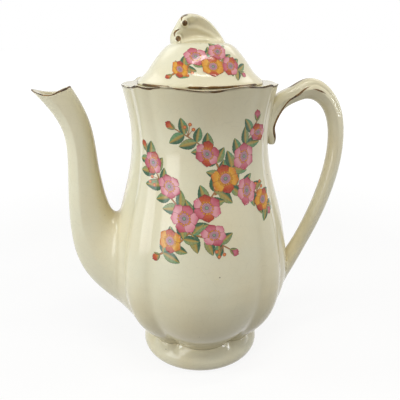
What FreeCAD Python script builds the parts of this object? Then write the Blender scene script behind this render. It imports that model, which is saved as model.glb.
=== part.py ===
import FreeCAD, Part
import math
import os

from FreeCAD import Vector

# A glazed coffee pot with a lobed body on a foot ring, a swan-neck spout, a strap handle and a lift-off lid.
# The origin is the centre of the plane that the foot rests on. +Z is up, the spout points along -X and the
# handle along +X. Lengths are in millimetres and angles in degrees.

SIZES = {
    # Foot ring: a rounded bead below a sloping collar, open underneath.
    "foot_height": 16.0,
    "foot_radius": 35.7,
    "foot_rounding": 7.0,
    "foot_top_radius": 30.3,
    "foot_bore_radius": 25.0,
    # Body: radius over the crest of the lobes at named heights above the top of the foot.
    "base_radius": 31.5,
    "underside_height": 8.0,
    "underside_radius": 40.1,
    "haunch_height": 22.0,
    "haunch_radius": 49.5,
    "belly_height": 44.0,
    "belly_radius": 52.6,
    "flank_height": 74.0,
    "flank_radius": 47.9,
    "shoulder_height": 100.0,
    "shoulder_radius": 41.1,
    "neck_height": 122.0,
    "neck_radius": 38.9,
    "rim_height": 148.8,
    "rim_radius": 43.2,
    "lip_height": 5.0,
    "lip_flare": 1.3,
    "body_wall": 4.0,
    "floor_thickness": 5.0,
    # Creases between the lobes: angle from the front and back, and depth below the crest.
    "base_crease_angle": 30.0,
    "belly_crease_angle": 38.0,
    "rim_crease_angle": 42.0,
    "side_crease_angle": 62.0,
    "crease_depth": 1.4,
    # Rim: the ledge that the lid rests on, and the wave of the lip above its lowest points.
    "ledge_rise": 1.0,
    "ledge_thickness": 6.0,
    "ledge_radius": 37.0,
    "mouth_radius": 31.5,
    "rim_swell_angle": 29.0,
    "rim_front_swell": 2.0,
    "rim_front_notch": 0.9,
    "rim_pleat_swell": 1.8,
    "rim_side_notch": 0.2,
    "rim_side_swell": 0.4,
    # Spout: each section runs from an outer to an inner edge, at stand-offs from the belly's crest.
    "spout_root_sink": 11.0,
    "spout_root_low": 9.5,
    "spout_root_high": 82.0,
    "spout_root_width": 40.0,
    "spout_haunch_out": 8.7,
    "spout_haunch_low": 26.6,
    "spout_haunch_in": -1.2,
    "spout_haunch_high": 77.5,
    "spout_haunch_width": 28.0,
    "spout_bend_out": 19.4,
    "spout_bend_low": 42.0,
    "spout_bend_in": 2.2,
    "spout_bend_high": 84.0,
    "spout_bend_width": 23.0,
    "spout_rise_out": 24.4,
    "spout_rise_low": 69.0,
    "spout_rise_in": 4.6,
    "spout_rise_high": 95.5,
    "spout_rise_width": 20.0,
    "spout_waist_out": 23.8,
    "spout_waist_low": 101.0,
    "spout_waist_in": 6.0,
    "spout_waist_high": 106.5,
    "spout_waist_width": 17.6,
    "spout_neck_out": 25.7,
    "spout_neck_low": 126.0,
    "spout_neck_in": 9.4,
    "spout_neck_high": 128.2,
    "spout_neck_width": 17.0,
    "spout_mouth_out": 43.4,
    "spout_mouth_low": 150.5,
    "spout_mouth_in": 24.0,
    "spout_mouth_high": 152.5,
    "spout_mouth_width": 19.5,
    "spout_wall": 2.6,
    "spout_ridge": 0.9,
    "spout_lip_curve": 19.0,
    "spout_lip_out": 30.0,
    "spout_lip_dip": 144.4,
    # Strainer holes through the body wall behind the spout.
    "strainer_hole_diameter": 5.0,
    "strainer_ring_radius": 9.0,
    "strainer_height": 46.0,
    # Handle: centre line at stand-offs from the neck, with drops below the rim or heights above the foot.
    "handle_scroll_out": 1.7,
    "handle_scroll_drop": 34.2,
    "handle_curl_out": 2.3,
    "handle_curl_drop": 30.6,
    "handle_tuck_out": 1.7,
    "handle_tuck_drop": 25.3,
    "handle_strap_out": 2.7,
    "handle_strap_drop": 18.3,
    "handle_root_out": 7.1,
    "handle_root_drop": 8.3,
    "handle_shoulder_out": 14.1,
    "handle_shoulder_drop": 5.2,
    "handle_crown_out": 23.6,
    "handle_crown_drop": 2.4,
    "handle_bend_out": 33.7,
    "handle_bend_drop": 9.0,
    "handle_back_out": 40.6,
    "handle_back_drop": 29.8,
    "handle_stem_out": 35.6,
    "handle_stem_height": 84.5,
    "handle_tail_out": 23.2,
    "handle_tail_height": 53.5,
    "handle_heel_sink": 5.6,
    "handle_heel_height": 26.2,
    "handle_scroll_thickness": 3.6,
    "handle_curl_thickness": 5.4,
    "handle_tuck_thickness": 4.4,
    "handle_strap_thickness": 6.2,
    "handle_root_thickness": 8.8,
    "handle_shoulder_thickness": 8.8,
    "handle_crown_thickness": 10.6,
    "handle_rod_thickness": 8.8,
    "handle_heel_thickness": 10.5,
    "handle_scroll_width": 9.0,
    "handle_strap_width": 11.0,
    "handle_crown_width": 13.5,
    "handle_rod_width": 11.0,
    "handle_heel_width": 16.0,
    "handle_strap_ridge": 1.0,
    "handle_rod_ridge": 0.3,
    # Lid: an ogee dome over a flange that drops into the mouth.
    "lid_radius": 34.5,
    "lid_edge": 1.4,
    "lid_cove_radius": 29.6,
    "lid_cove_rise": 5.7,
    "lid_waist_radius": 25.9,
    "lid_waist_rise": 10.6,
    "lid_shoulder_radius": 21.0,
    "lid_shoulder_rise": 16.2,
    "lid_crown_rise": 24.0,
    "lid_wall": 3.5,
    "lid_clearance": 0.5,
    "flange_wall": 3.0,
    "flange_depth": 9.0,
    # Finial: a leaning fin, scooped on both faces, standing on the crown of the lid.
    "finial_height": 11.4,
    "finial_sink": 9.0,
    "finial_lean": 5.3,
    "finial_knee_rise": 0.6,
    "finial_front": 15.8,
    "finial_back": 15.8,
    "finial_swell": 7.0,
    "finial_swell_drop": 6.4,
    "finial_thickness": 11.0,
    "finial_rounding": 4.0,
    "finial_scoop_radius": 16.0,
    "finial_scoop_depth": 2.2,
    "finial_scoop_offset": 2.5,
    "finial_scoop_rise": 3.8,
    # Gilding: bands fired onto the edges.
    "gilt_width": 1.2,
    "gilt_depth": 0.8,
}

doc = FreeCAD.newDocument("coffee_pot")
sheet = doc.addObject("Spreadsheet::Sheet", "Sizes")
for row, (alias, value) in enumerate(SIZES.items(), 1):
    sheet.set(f"A{row}", alias)
    sheet.set(f"B{row}", str(value))
    sheet.setAlias(f"B{row}", alias)
doc.recompute()


def size(alias):
    """Value of one cell of the sheet."""
    return float(sheet.get(alias))


def feature(name, shape):
    """Document object that holds a computed shape."""
    item = doc.addObject("Part::Feature", name)
    item.Shape = shape
    return item


def bound(kind, name, **expressions):
    """Part primitive whose properties follow expressions; a double underscore in a key stands for a dot."""
    item = doc.addObject(kind, name)
    for key, expression in expressions.items():
        item.setExpression(key.replace("__", "."), expression)
    return item


def loft(name, sections):
    """Smooth solid through closed outlines."""
    item = doc.addObject("Part::Loft", name)
    item.Sections = sections
    item.Solid = True
    item.Ruled = False
    item.MaxDegree = 5
    return item


def cut(name, base, tool):
    """What is left of base outside tool."""
    item = doc.addObject("Part::Cut", name)
    item.Base = base
    item.Tool = tool
    return item


def common(name, base, tool):
    """What base and tool share."""
    item = doc.addObject("Part::Common", name)
    item.Base = base
    item.Tool = tool
    return item


def fuse(name, pieces):
    """One solid from several that overlap."""
    item = doc.addObject("Part::MultiFuse", name)
    item.Shapes = pieces
    return item


def spline(points, start=None, end=None):
    """Smooth curve through points, with the way it sets out and arrives where those are given."""
    curve = Part.BSplineCurve()
    if start is None:
        curve.interpolate(Points=points)
    else:
        curve.interpolate(Points=points, InitialTangent=start, FinalTangent=end)
    return curve


def polar(radius, angle, height):
    """Point at a radius and an angle in degrees from +X."""
    turn = math.radians(angle)
    return Vector(radius * math.cos(turn), radius * math.sin(turn), height)


def polyline(*points):
    """Straight edges from point to point."""
    return [Part.LineSegment(*pair).toShape() for pair in zip(points, points[1:])]


def turned(name, edges):
    """Solid turned about the pot's axis from a closed outline in the XZ plane."""
    item = doc.addObject("Part::Revolution", name)
    item.Source = feature(name + "_outline", Part.Face(Part.Wire(edges)))
    item.Axis = Vector(0, 0, 1)
    item.Angle = 360
    item.Solid = True
    return item


def mirrored(quarter):
    """Angle and rise of each point round the whole pot, from those of the quarter between +X and +Y."""
    half = quarter + [(180 - angle, rise) for angle, rise in reversed(quarter[:-1])]
    return half + [(360 - angle, rise) for angle, rise in reversed(half[1:-1])]


# Heights that the pieces share.
FOOT_TOP = size("foot_height")
RIM = FOOT_TOP + size("rim_height")
LEDGE = RIM + size("ledge_rise")
CROWN = LEDGE + size("lid_crown_rise")
LEDGE_CELL = "(Sizes.foot_height + Sizes.rim_height + Sizes.ledge_rise)"
# Cutters at the rim stand this many lip heights tall and reach this many times as far out as the lip.
CUTTER_HEADROOM = 4
CUTTER_REACH = 2
# Points on a quarter of a rounded section, and the number of holes in the strainer's ring.
QUARTER_STEPS = 4
RING_HOLES = 6
# Largest share of a piece's thickness that the rounding of one edge takes.
ROUNDING_LIMIT = 0.45
BODY_STATIONS = ["underside", "haunch", "belly", "flank", "shoulder", "neck", "rim"]


def front_crease(height):
    """Angle from the front of the creases beside the broad panels, at a height above the foot."""
    belly = size("belly_height")
    if height < belly:
        share = height / belly
        return size("base_crease_angle") * (1 - share) + size("belly_crease_angle") * share
    share = min(1.0, (height - belly) / (size("rim_height") - belly))
    return size("belly_crease_angle") * (1 - share) + size("rim_crease_angle") * share


def lobed_outline(height, crest_radius):
    """Closed outline of eight arcs that meet in creases, at a height above the foot."""
    level = FOOT_TOP + height
    crease_radius = crest_radius - size("crease_depth")
    side = 90 - size("side_crease_angle")
    front = 90 - front_crease(height)
    first = [side, front]
    creases = first + [180 - angle for angle in reversed(first)]
    creases += [180 + angle for angle in first] + [360 - angle for angle in reversed(first)]
    creases.append(360 + side)
    arcs = []
    for start, end in zip(creases, creases[1:]):
        ends = [polar(crease_radius, start, level), polar(crease_radius, end, level)]
        arcs.append(Part.Arc(ends[0], polar(crest_radius, (start + end) / 2, level), ends[1]).toShape())
    return Part.Wire(arcs)


def make_pot_outer():
    """Solid inside the outer surface of the body, up past the rim."""
    stations = [(0.0, size("base_radius"))]
    stations += [(size(name + "_height"), size(name + "_radius")) for name in BODY_STATIONS]
    stations.append((size("rim_height") + size("lip_height"), size("rim_radius") + size("lip_flare")))
    sections = [feature(f"body_section_{index}", lobed_outline(*station))
                for index, station in enumerate(stations)]
    return loft("pot_outer", sections)


def make_cavity():
    """Round inside of the body, from its floor to the underside of the ledge, with the mouth above it."""
    floor = bound("Part::Circle", "cavity_floor", Radius="Sizes.base_radius - Sizes.body_wall",
                  Placement__Base__z="Sizes.foot_height + Sizes.floor_thickness")
    rings = [floor]
    for name in BODY_STATIONS[1:-1]:
        rings.append(bound("Part::Circle", "cavity_" + name, Radius=f"Sizes.{name}_radius - Sizes.body_wall",
                           Placement__Base__z=f"Sizes.foot_height + Sizes.{name}_height"))
    rings.append(bound("Part::Circle", "cavity_throat", Radius="Sizes.neck_radius - Sizes.body_wall",
                       Placement__Base__z=f"{LEDGE_CELL} - Sizes.ledge_thickness"))
    mouth = bound("Part::Cylinder", "mouth_bore", Radius="Sizes.mouth_radius",
                  Height="2 * Sizes.ledge_thickness + Sizes.lip_height",
                  Placement__Base__z=f"{LEDGE_CELL} - 2 * Sizes.ledge_thickness")
    return fuse("cavity", [loft("cavity_room", rings), mouth])


def make_rim_cutter(name, drop_alias=None):
    """Solid above the wavy lip: a ruled skirt from the ledge's edge out through the lip, drawn upwards.

    The whole cutter is set lower by the size that drop_alias names.
    """
    drop = size(drop_alias) if drop_alias else 0.0
    drop_cell = f"Sizes.{drop_alias}" if drop_alias else "0"
    ledge_radius = size("ledge_radius")
    front = 90 - size("rim_crease_angle")
    side = 90 - size("side_crease_angle")
    quarter = [(0, 0.0), (side / 2, size("rim_side_swell")), (side, size("rim_side_notch")),
               ((side + front) / 2, size("rim_pleat_swell")),
               (front, size("rim_front_notch")), (90 - size("rim_swell_angle"), size("rim_front_swell")),
               (90, 0.0)]
    reach = ledge_radius + CUTTER_REACH * (size("rim_radius") - ledge_radius)
    points = []
    for angle, rise in mirrored(quarter):
        height = LEDGE + CUTTER_REACH * (RIM + rise - LEDGE)
        points.append(polar(reach, angle, height - drop))
    ways = [after - before for before, after in zip(points[-1:] + points[:-1], points[1:] + points[:1])]
    outer = Part.BSplineCurve()
    outer.interpolate(Points=points, PeriodicFlag=True, Tangents=ways, TangentFlags=[True] * len(ways))
    inner = Part.Circle(Vector(0, 0, LEDGE - drop), Vector(0, 0, 1), ledge_radius)
    skirt = Part.makeRuledSurface(inner.toShape(), outer.toShape())
    ring = feature(name + "_skirt", skirt.extrude(Vector(0, 0, CUTTER_HEADROOM * size("lip_height"))))
    well = bound("Part::Cylinder", name + "_well", Radius="Sizes.ledge_radius",
                 Height=f"{CUTTER_HEADROOM} * Sizes.lip_height",
                 Placement__Base__z=f"{LEDGE_CELL} - {drop_cell}")
    return fuse(name, [ring, well])


def oval(centre, axis, depth, width, ridge):
    """Closed outline of two smooth halves that meet in a soft ridge on either flank.

    The depth lies along axis, the width along Y, and the flanks are drawn in by ridge between the ridge line
    and the outline's ends.
    """
    halves = []
    marks = [float(step) for step in range(2 * QUARTER_STEPS + 1)]
    for way in (1, -1):
        points = []
        for step in range(-QUARTER_STEPS, QUARTER_STEPS + 1):
            turn = math.radians(90 * step / QUARTER_STEPS)
            along = math.cos(turn)
            # The draw is nil at the ridge line and at the end, and as deep as the ridge half-way between.
            draw = ridge * (1 - (2 * along - 1) ** 2)
            across = width / 2 * math.sin(turn) - (math.copysign(draw, step) if step else 0)
            points.append(centre + axis * (way * along * depth / 2) + Vector(0, way * across, 0))
        half = Part.BSplineCurve()
        half.interpolate(Points=points, Parameters=marks)
        halves.append(half.toShape())
    return Part.Wire(halves)


def spout_stations():
    """Outer end, inner end and width of each section of the spout."""
    belly = size("belly_radius")
    sink = size("spout_root_sink")
    root = (Vector(sink - belly, 0, FOOT_TOP + size("spout_root_low")),
            Vector(sink - belly, 0, FOOT_TOP + size("spout_root_high")), size("spout_root_width"))
    stations = [root]
    for name in ("haunch", "bend", "rise", "waist", "neck", "mouth"):
        stem = f"spout_{name}_"
        stations.append((Vector(-belly - size(stem + "out"), 0, FOOT_TOP + size(stem + "low")),
                         Vector(-belly - size(stem + "in"), 0, FOOT_TOP + size(stem + "high")),
                         size(stem + "width")))
    return stations


def make_spout_skin(name, inset, ridge):
    """Solid inside the spout's outer surface, or inside its bore where inset is the wall."""
    sections = []
    for index, (outer, inner, width) in enumerate(spout_stations()):
        span = outer - inner
        axis = Vector(span).normalize()
        outline = oval((outer + inner) / 2, axis, span.Length - 2 * inset, width - 2 * inset, ridge)
        sections.append(feature(f"{name}_section_{index}", outline))
    return loft(name, sections)


def make_lip_cutter(name, grow):
    """Cylinder across the spout whose lower side shapes the lip."""
    item = bound("Part::Cylinder", name, Radius=f"Sizes.spout_lip_curve + {grow}",
                 Height="2 * Sizes.spout_mouth_width",
                 Placement__Base__x="-Sizes.belly_radius - Sizes.spout_lip_out",
                 Placement__Base__y="Sizes.spout_mouth_width",
                 Placement__Base__z="Sizes.foot_height + Sizes.spout_lip_dip + Sizes.spout_lip_curve")
    item.setExpression("Placement.Rotation.Axis.x", "1")
    item.setExpression("Placement.Rotation.Axis.z", "0")
    item.setExpression("Placement.Rotation.Angle", "90")
    return item


def handle_stations():
    """Point, thickness, width and ridge of each named section of the handle, from the scroll to the heel."""
    neck = size("neck_radius")
    upper = {"scroll": "scroll", "curl": "scroll", "tuck": "strap", "strap": "strap", "root": "strap",
             "shoulder": "crown", "crown": "crown"}
    stations = []
    for name, broad in upper.items():
        point = Vector(neck + size(f"handle_{name}_out"), 0, RIM - size(f"handle_{name}_drop"))
        stations.append((point, size(f"handle_{name}_thickness"), size(f"handle_{broad}_width"),
                         size("handle_strap_ridge")))
    rod = (size("handle_rod_thickness"), size("handle_rod_width"), size("handle_rod_ridge"))
    for name in ("bend", "back"):
        point = Vector(neck + size(f"handle_{name}_out"), 0, RIM - size(f"handle_{name}_drop"))
        stations.append((point,) + rod)
    for name in ("stem", "tail"):
        point = Vector(neck + size(f"handle_{name}_out"), 0, FOOT_TOP + size(f"handle_{name}_height"))
        stations.append((point,) + rod)
    heel = Vector(size("belly_radius") - size("handle_heel_sink"), 0, FOOT_TOP + size("handle_heel_height"))
    stations.append((heel, size("handle_heel_thickness"), size("handle_heel_width"),
                     size("handle_rod_ridge")))
    return stations


def make_handle_skin():
    """Solid of the strap and rod, from the scroll on the neck over the crown and down into the belly.

    The sections stand about one thickness of the rod apart.
    """
    stations = handle_stations()
    path = spline([station[0] for station in stations])
    outlines = []
    for before, after in zip(stations, stations[1:]):
        start = path.parameter(before[0])
        end = path.parameter(after[0])
        spans = max(1, round(path.length(start, end) / size("handle_rod_thickness")))
        for span in range(spans + (after is stations[-1])):
            share = span / spans
            place = start + (end - start) * share
            thickness, width, ridge = (low + (high - low) * share for low, high in zip(before[1:], after[1:]))
            tangent = path.tangent(place)[0]
            axis = Vector(-tangent.z, 0, tangent.x)
            outlines.append(oval(path.value(place), axis, thickness, width, ridge))
    sections = [feature(f"handle_section_{index}", outline) for index, outline in enumerate(outlines)]
    return loft("handle_skin", sections)


def make_foot_ring():
    """Foot ring, turned about the pot's axis."""
    height = size("foot_height")
    rounding = size("foot_rounding")
    bore = size("foot_bore_radius")
    centre = Vector(size("foot_radius") - rounding, 0, rounding)
    top = Vector(size("foot_top_radius"), 0, height)
    reach = top - centre
    swing = math.atan2(reach.z, reach.x) - math.acos(rounding / reach.Length)
    seat = centre - Vector(0, 0, rounding)
    tangent = centre + Vector(math.cos(swing), 0, math.sin(swing)) * rounding
    middle = (swing - math.pi / 2) / 2
    shoulder = centre + Vector(math.cos(middle), 0, math.sin(middle)) * rounding
    bead = Part.Arc(seat, shoulder, tangent).toShape()
    inside = [Vector(bore, 0, height), Vector(bore, 0, 0)]
    return turned("foot_ring", [bead] + polyline(tangent, top, *inside, seat))


def dome_points():
    """Points of the lid's outer ogee, from its edge to its crown."""
    points = [Vector(size("lid_radius"), 0, LEDGE + size("lid_edge"))]
    for name in ("cove", "waist", "shoulder"):
        points.append(Vector(size(f"lid_{name}_radius"), 0, LEDGE + size(f"lid_{name}_rise")))
    points.append(Vector(0, 0, CROWN))
    return points


def ogee(points):
    """Smooth curve through points that crosses the pot's axis level."""
    return spline(points, points[1] - points[0], Vector(-points[-2].x, 0, 0))


def make_lid():
    """Lid with its hollow and flange, and the solid inside its outer surface."""
    points = dome_points()
    outer = ogee(points)
    edge_foot = Vector(size("lid_radius"), 0, LEDGE)
    axis_foot = Vector(0, 0, LEDGE)
    filled = turned("lid_filled", [outer.toShape()] + polyline(points[-1], axis_foot, edge_foot, points[0]))
    wall = size("lid_wall")
    inner_points = []
    for point in points[1:-1]:
        tangent = outer.tangent(outer.parameter(point))[0]
        inner_points.append(point + Vector(-tangent.z, 0, tangent.x).normalize() * wall)
    inner_points.append(points[-1] - Vector(0, 0, wall))
    flange_outer = size("mouth_radius") - size("lid_clearance")
    flange_inner = flange_outer - size("flange_wall")
    flange_foot = LEDGE - size("flange_depth")
    inner_points.insert(0, Vector(flange_inner, 0, LEDGE))
    hollow = spline(inner_points)
    corners = [inner_points[0], Vector(flange_inner, 0, flange_foot), Vector(flange_outer, 0, flange_foot),
               Vector(flange_outer, 0, LEDGE), edge_foot, points[0]]
    edges = polyline(*corners) + [outer.toShape()] + polyline(points[-1], inner_points[-1])
    shell = turned("lid_shell", edges + [hollow.toShape()])
    return filled, shell


def make_lid_gilding():
    """Gilt band let into the edge of the lid."""
    radius = size("lid_radius")
    inner = radius - size("gilt_depth")
    low = LEDGE + (size("lid_edge") - size("gilt_width")) / 2
    high = low + size("gilt_width")
    corners = [Vector(inner, 0, low), Vector(radius, 0, low), Vector(radius, 0, high), Vector(inner, 0, high)]
    return turned("lid_gilding", polyline(*corners, corners[0]))


def make_finial_skin():
    """Leaning fin with rounded edges, standing through the crown of the lid."""
    top = CROWN + size("finial_height")
    low = CROWN - size("finial_sink")
    lean = -size("finial_lean")
    front = -size("finial_front")
    knee = CROWN + size("finial_knee_rise")
    bow = math.sin(math.radians(45))
    contour = [Vector(front, 0, low), Vector(front, 0, knee),
               Vector(lean + (front - lean) * bow, 0, knee + (top - knee) * bow), Vector(lean, 0, top),
               Vector(size("finial_swell"), 0, top - size("finial_swell_drop")),
               Vector(size("finial_back"), 0, low)]
    edges = [spline(contour).toShape()] + polyline(contour[-1], contour[0])
    slab = bound("Part::Extrusion", "finial_slab", LengthFwd="Sizes.finial_thickness")
    slab.Base = feature("finial_outline", Part.Face(Part.Wire(edges)))
    slab.DirMode = "Custom"
    slab.Dir = Vector(0, 1, 0)
    slab.Solid = True
    slab.Symmetric = True
    doc.recompute()
    rounding = min(size("finial_rounding"), ROUNDING_LIMIT * size("finial_thickness"))
    rounded = doc.addObject("Part::Fillet", "finial_rounded")
    rounded.Base = slab
    rounded.Edges = [(index, rounding, rounding) for index, edge in enumerate(slab.Shape.Edges, 1)
                     if edge.BoundBox.ZLength > size("finial_height")]
    scoops = []
    for way, side in ((1, "back"), (-1, "front")):
        scoops.append(bound("Part::Sphere", "scoop_" + side, Radius="Sizes.finial_scoop_radius",
                            Placement__Base__x="Sizes.finial_scoop_offset",
                            Placement__Base__y=f"{way} * (Sizes.finial_thickness / 2 + "
                                               "Sizes.finial_scoop_radius - Sizes.finial_scoop_depth)",
                            Placement__Base__z=f"{LEDGE_CELL} + Sizes.lid_crown_rise + "
                                               "Sizes.finial_scoop_rise"))
    return cut("finial_scooped", rounded, fuse("scoops", scoops))


def make_strainer():
    """Ring of holes round a middle hole, bored along X through the wall behind the spout."""
    offsets = [("0", "0")]
    for index in range(RING_HOLES):
        angle = 360 / RING_HOLES * index
        offsets.append((f"Sizes.strainer_ring_radius * cos({angle})",
                        f"Sizes.strainer_ring_radius * sin({angle})"))
    holes = []
    for index, (across, up) in enumerate(offsets):
        hole = bound("Part::Cylinder", f"strainer_hole_{index}", Radius="Sizes.strainer_hole_diameter / 2",
                     Height="4 * Sizes.body_wall", Placement__Base__x="-Sizes.belly_radius - Sizes.body_wall",
                     Placement__Base__y=across,
                     Placement__Base__z=f"Sizes.foot_height + Sizes.strainer_height + {up}")
        hole.setExpression("Placement.Rotation.Axis.y", "1")
        hole.setExpression("Placement.Rotation.Axis.z", "0")
        hole.setExpression("Placement.Rotation.Angle", "90")
        holes.append(hole)
    return fuse("strainer", holes)


def make_pot():
    """Body, foot, spout and handle, with the gilt bands on the two lips."""
    outer = make_pot_outer()
    hollowed = cut("pot_hollowed", outer, make_cavity())
    trimmed = cut("pot_trimmed", hollowed, make_rim_cutter("rim_cutter"))
    pierced = cut("pot_pierced", trimmed, make_strainer())
    core = bound("Part::Cylinder", "lip_core",
                 Radius="Sizes.rim_radius - Sizes.crease_depth - Sizes.gilt_depth",
                 Height=f"{LEDGE_CELL} + {CUTTER_HEADROOM} * Sizes.lip_height")
    lip = cut("lip_zone", make_rim_cutter("gilt_cutter", "gilt_width"), core)
    body = cut("pot_body", pierced, lip)
    rim_gilding = common("rim_gilding", pierced, lip)
    ridge = size("spout_ridge")
    tube = cut("spout_tube", make_spout_skin("spout_skin", 0.0, ridge),
               make_spout_skin("spout_bore", size("spout_wall"), ridge))
    open_tube = cut("spout_open", tube, make_lip_cutter("lip_cutter", "0"))
    seated = cut("spout_seated", open_tube, outer)
    lip_band = make_lip_cutter("lip_band", "Sizes.gilt_width")
    spout = cut("spout", seated, lip_band)
    spout_gilding = common("spout_gilding", seated, lip_band)
    handle = cut("handle", make_handle_skin(), outer)
    return [body, make_foot_ring(), spout, handle, rim_gilding, spout_gilding]


def make_lid_group():
    """Lid, finial and the gilt band on the lid's edge."""
    filled, shell = make_lid()
    gilding = make_lid_gilding()
    dome = cut("lid_dome", shell, gilding)
    finial = cut("lid_finial", make_finial_skin(), filled)
    return [dome, finial, gilding]


sub_parts = make_pot() + make_lid_group()
doc.recompute()
for item in doc.Objects:
    if "Invalid" in item.State or "Error" in item.State:
        raise RuntimeError(f"{item.Label} failed: {item.State}")
os.makedirs("parts", exist_ok=True)
for item in sub_parts:
    shape = item.Shape
    if shape.isNull() or not shape.isValid() or not shape.Solids:
        raise RuntimeError(f"{item.Label} has no valid solid")
    shape.exportStep(f"parts/{item.Label}.step")
    box = shape.BoundBox
    print(f"{item.Label}: {len(shape.Solids)} solids, {shape.Volume:.0f} mm3, "
          f"x {box.XMin:.1f} to {box.XMax:.1f}, z {box.ZMin:.1f} to {box.ZMax:.1f}")
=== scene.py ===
import logging
import math
from dataclasses import dataclass, field
from enum import Enum
from typing import Callable, Sequence, Union

import bpy
import numpy as np
from mathutils import Matrix, Vector
from mathutils.bvhtree import BVHTree


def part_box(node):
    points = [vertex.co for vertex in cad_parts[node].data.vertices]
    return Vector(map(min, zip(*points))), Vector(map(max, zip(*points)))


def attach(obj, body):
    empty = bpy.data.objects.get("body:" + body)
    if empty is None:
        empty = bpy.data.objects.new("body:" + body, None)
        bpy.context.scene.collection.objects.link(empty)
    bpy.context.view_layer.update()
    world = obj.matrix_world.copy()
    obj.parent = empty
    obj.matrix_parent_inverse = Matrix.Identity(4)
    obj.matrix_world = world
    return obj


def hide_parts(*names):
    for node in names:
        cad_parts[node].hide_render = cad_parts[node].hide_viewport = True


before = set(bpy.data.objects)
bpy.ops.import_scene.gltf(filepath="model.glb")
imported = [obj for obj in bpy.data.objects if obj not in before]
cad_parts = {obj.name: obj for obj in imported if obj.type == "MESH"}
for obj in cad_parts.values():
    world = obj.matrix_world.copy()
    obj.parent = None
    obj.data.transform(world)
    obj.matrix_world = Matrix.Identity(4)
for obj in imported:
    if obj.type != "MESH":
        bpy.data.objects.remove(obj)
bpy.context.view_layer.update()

# A cream-glazed coffee pot with thin gilt lines and a printed flower spray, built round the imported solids.
# Sizes are in millimetres until a piece is made. Every piece is made in metres, in the frame of the solids.

Number = Union[float, "Value"]
Numbers = Union[float, np.ndarray]
Colour = tuple[float, float, float, float]
Pair = tuple[float, float]
Spot = tuple[float, float]
Row = tuple[float, ...]
Line = tuple[Spot, ...]
Surface = Callable[[np.ndarray, np.ndarray], tuple[np.ndarray, np.ndarray]]

LOG = logging.getLogger("coffee_pot")
MM = 0.001
FULL_TURN = 2 * math.pi
FRONT = -math.pi / 2
UP, DOWN = (0, 0, 1), (0, 0, -1)
OUTWARD, INWARD = (1, 0, 0), (-1, 0, 0)

# Rays that measure the solids start this far from the axis, or this far above a piece.
OUTSIDE = 80.0
ABOVE = 30.0

# Keeps a division from failing where a length is nought.
TINY = 1e-12


def linear(red: int, green: int, blue: int) -> Colour:
    """Linear colour of three display values.

    Args:
        red: share of red, from 0 to 255.
        green: share of green.
        blue: share of blue.

    Returns:
        The colour, without any transparency.
    """
    shares = [channel / 255 for channel in (red, green, blue)]
    bent = [share / 12.92 if share <= 0.04045 else ((share + 0.055) / 1.055) ** 2.4 for share in shares]
    return (bent[0], bent[1], bent[2], 1.0)


class Value:
    """A shader socket that Python arithmetic turns into Math nodes."""

    def __init__(self, graph: "Graph", socket: bpy.types.NodeSocket) -> None:
        """Wraps one output socket of a graph."""
        self.graph = graph
        self.socket = socket

    def _math(self, operation: str, first: Number, second: Number) -> "Value":
        """One Math node on two numbers."""
        return self.graph.node("ShaderNodeMath", {"operation": operation}, {0: first, 1: second})

    def __add__(self, other: Number) -> "Value":
        """Sum."""
        return self._math("ADD", self, other)

    __radd__ = __add__

    def __mul__(self, other: Number) -> "Value":
        """Product."""
        return self._math("MULTIPLY", self, other)

    __rmul__ = __mul__

    def __sub__(self, other: Number) -> "Value":
        """Difference."""
        return self._math("SUBTRACT", self, other)

    def __rsub__(self, other: Number) -> "Value":
        """Difference from a number."""
        return self._math("SUBTRACT", other, self)

    def __gt__(self, other: Number) -> "Value":
        """One where the socket is above a number, and nought elsewhere."""
        return self._math("GREATER_THAN", self, other)

    def __lt__(self, other: Number) -> "Value":
        """One where a number is above the socket, and nought elsewhere."""
        return self._math("LESS_THAN", self, other)

    def either(self, other: Number) -> "Value":
        """The larger of two numbers."""
        return self._math("MAXIMUM", self, other)


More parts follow.
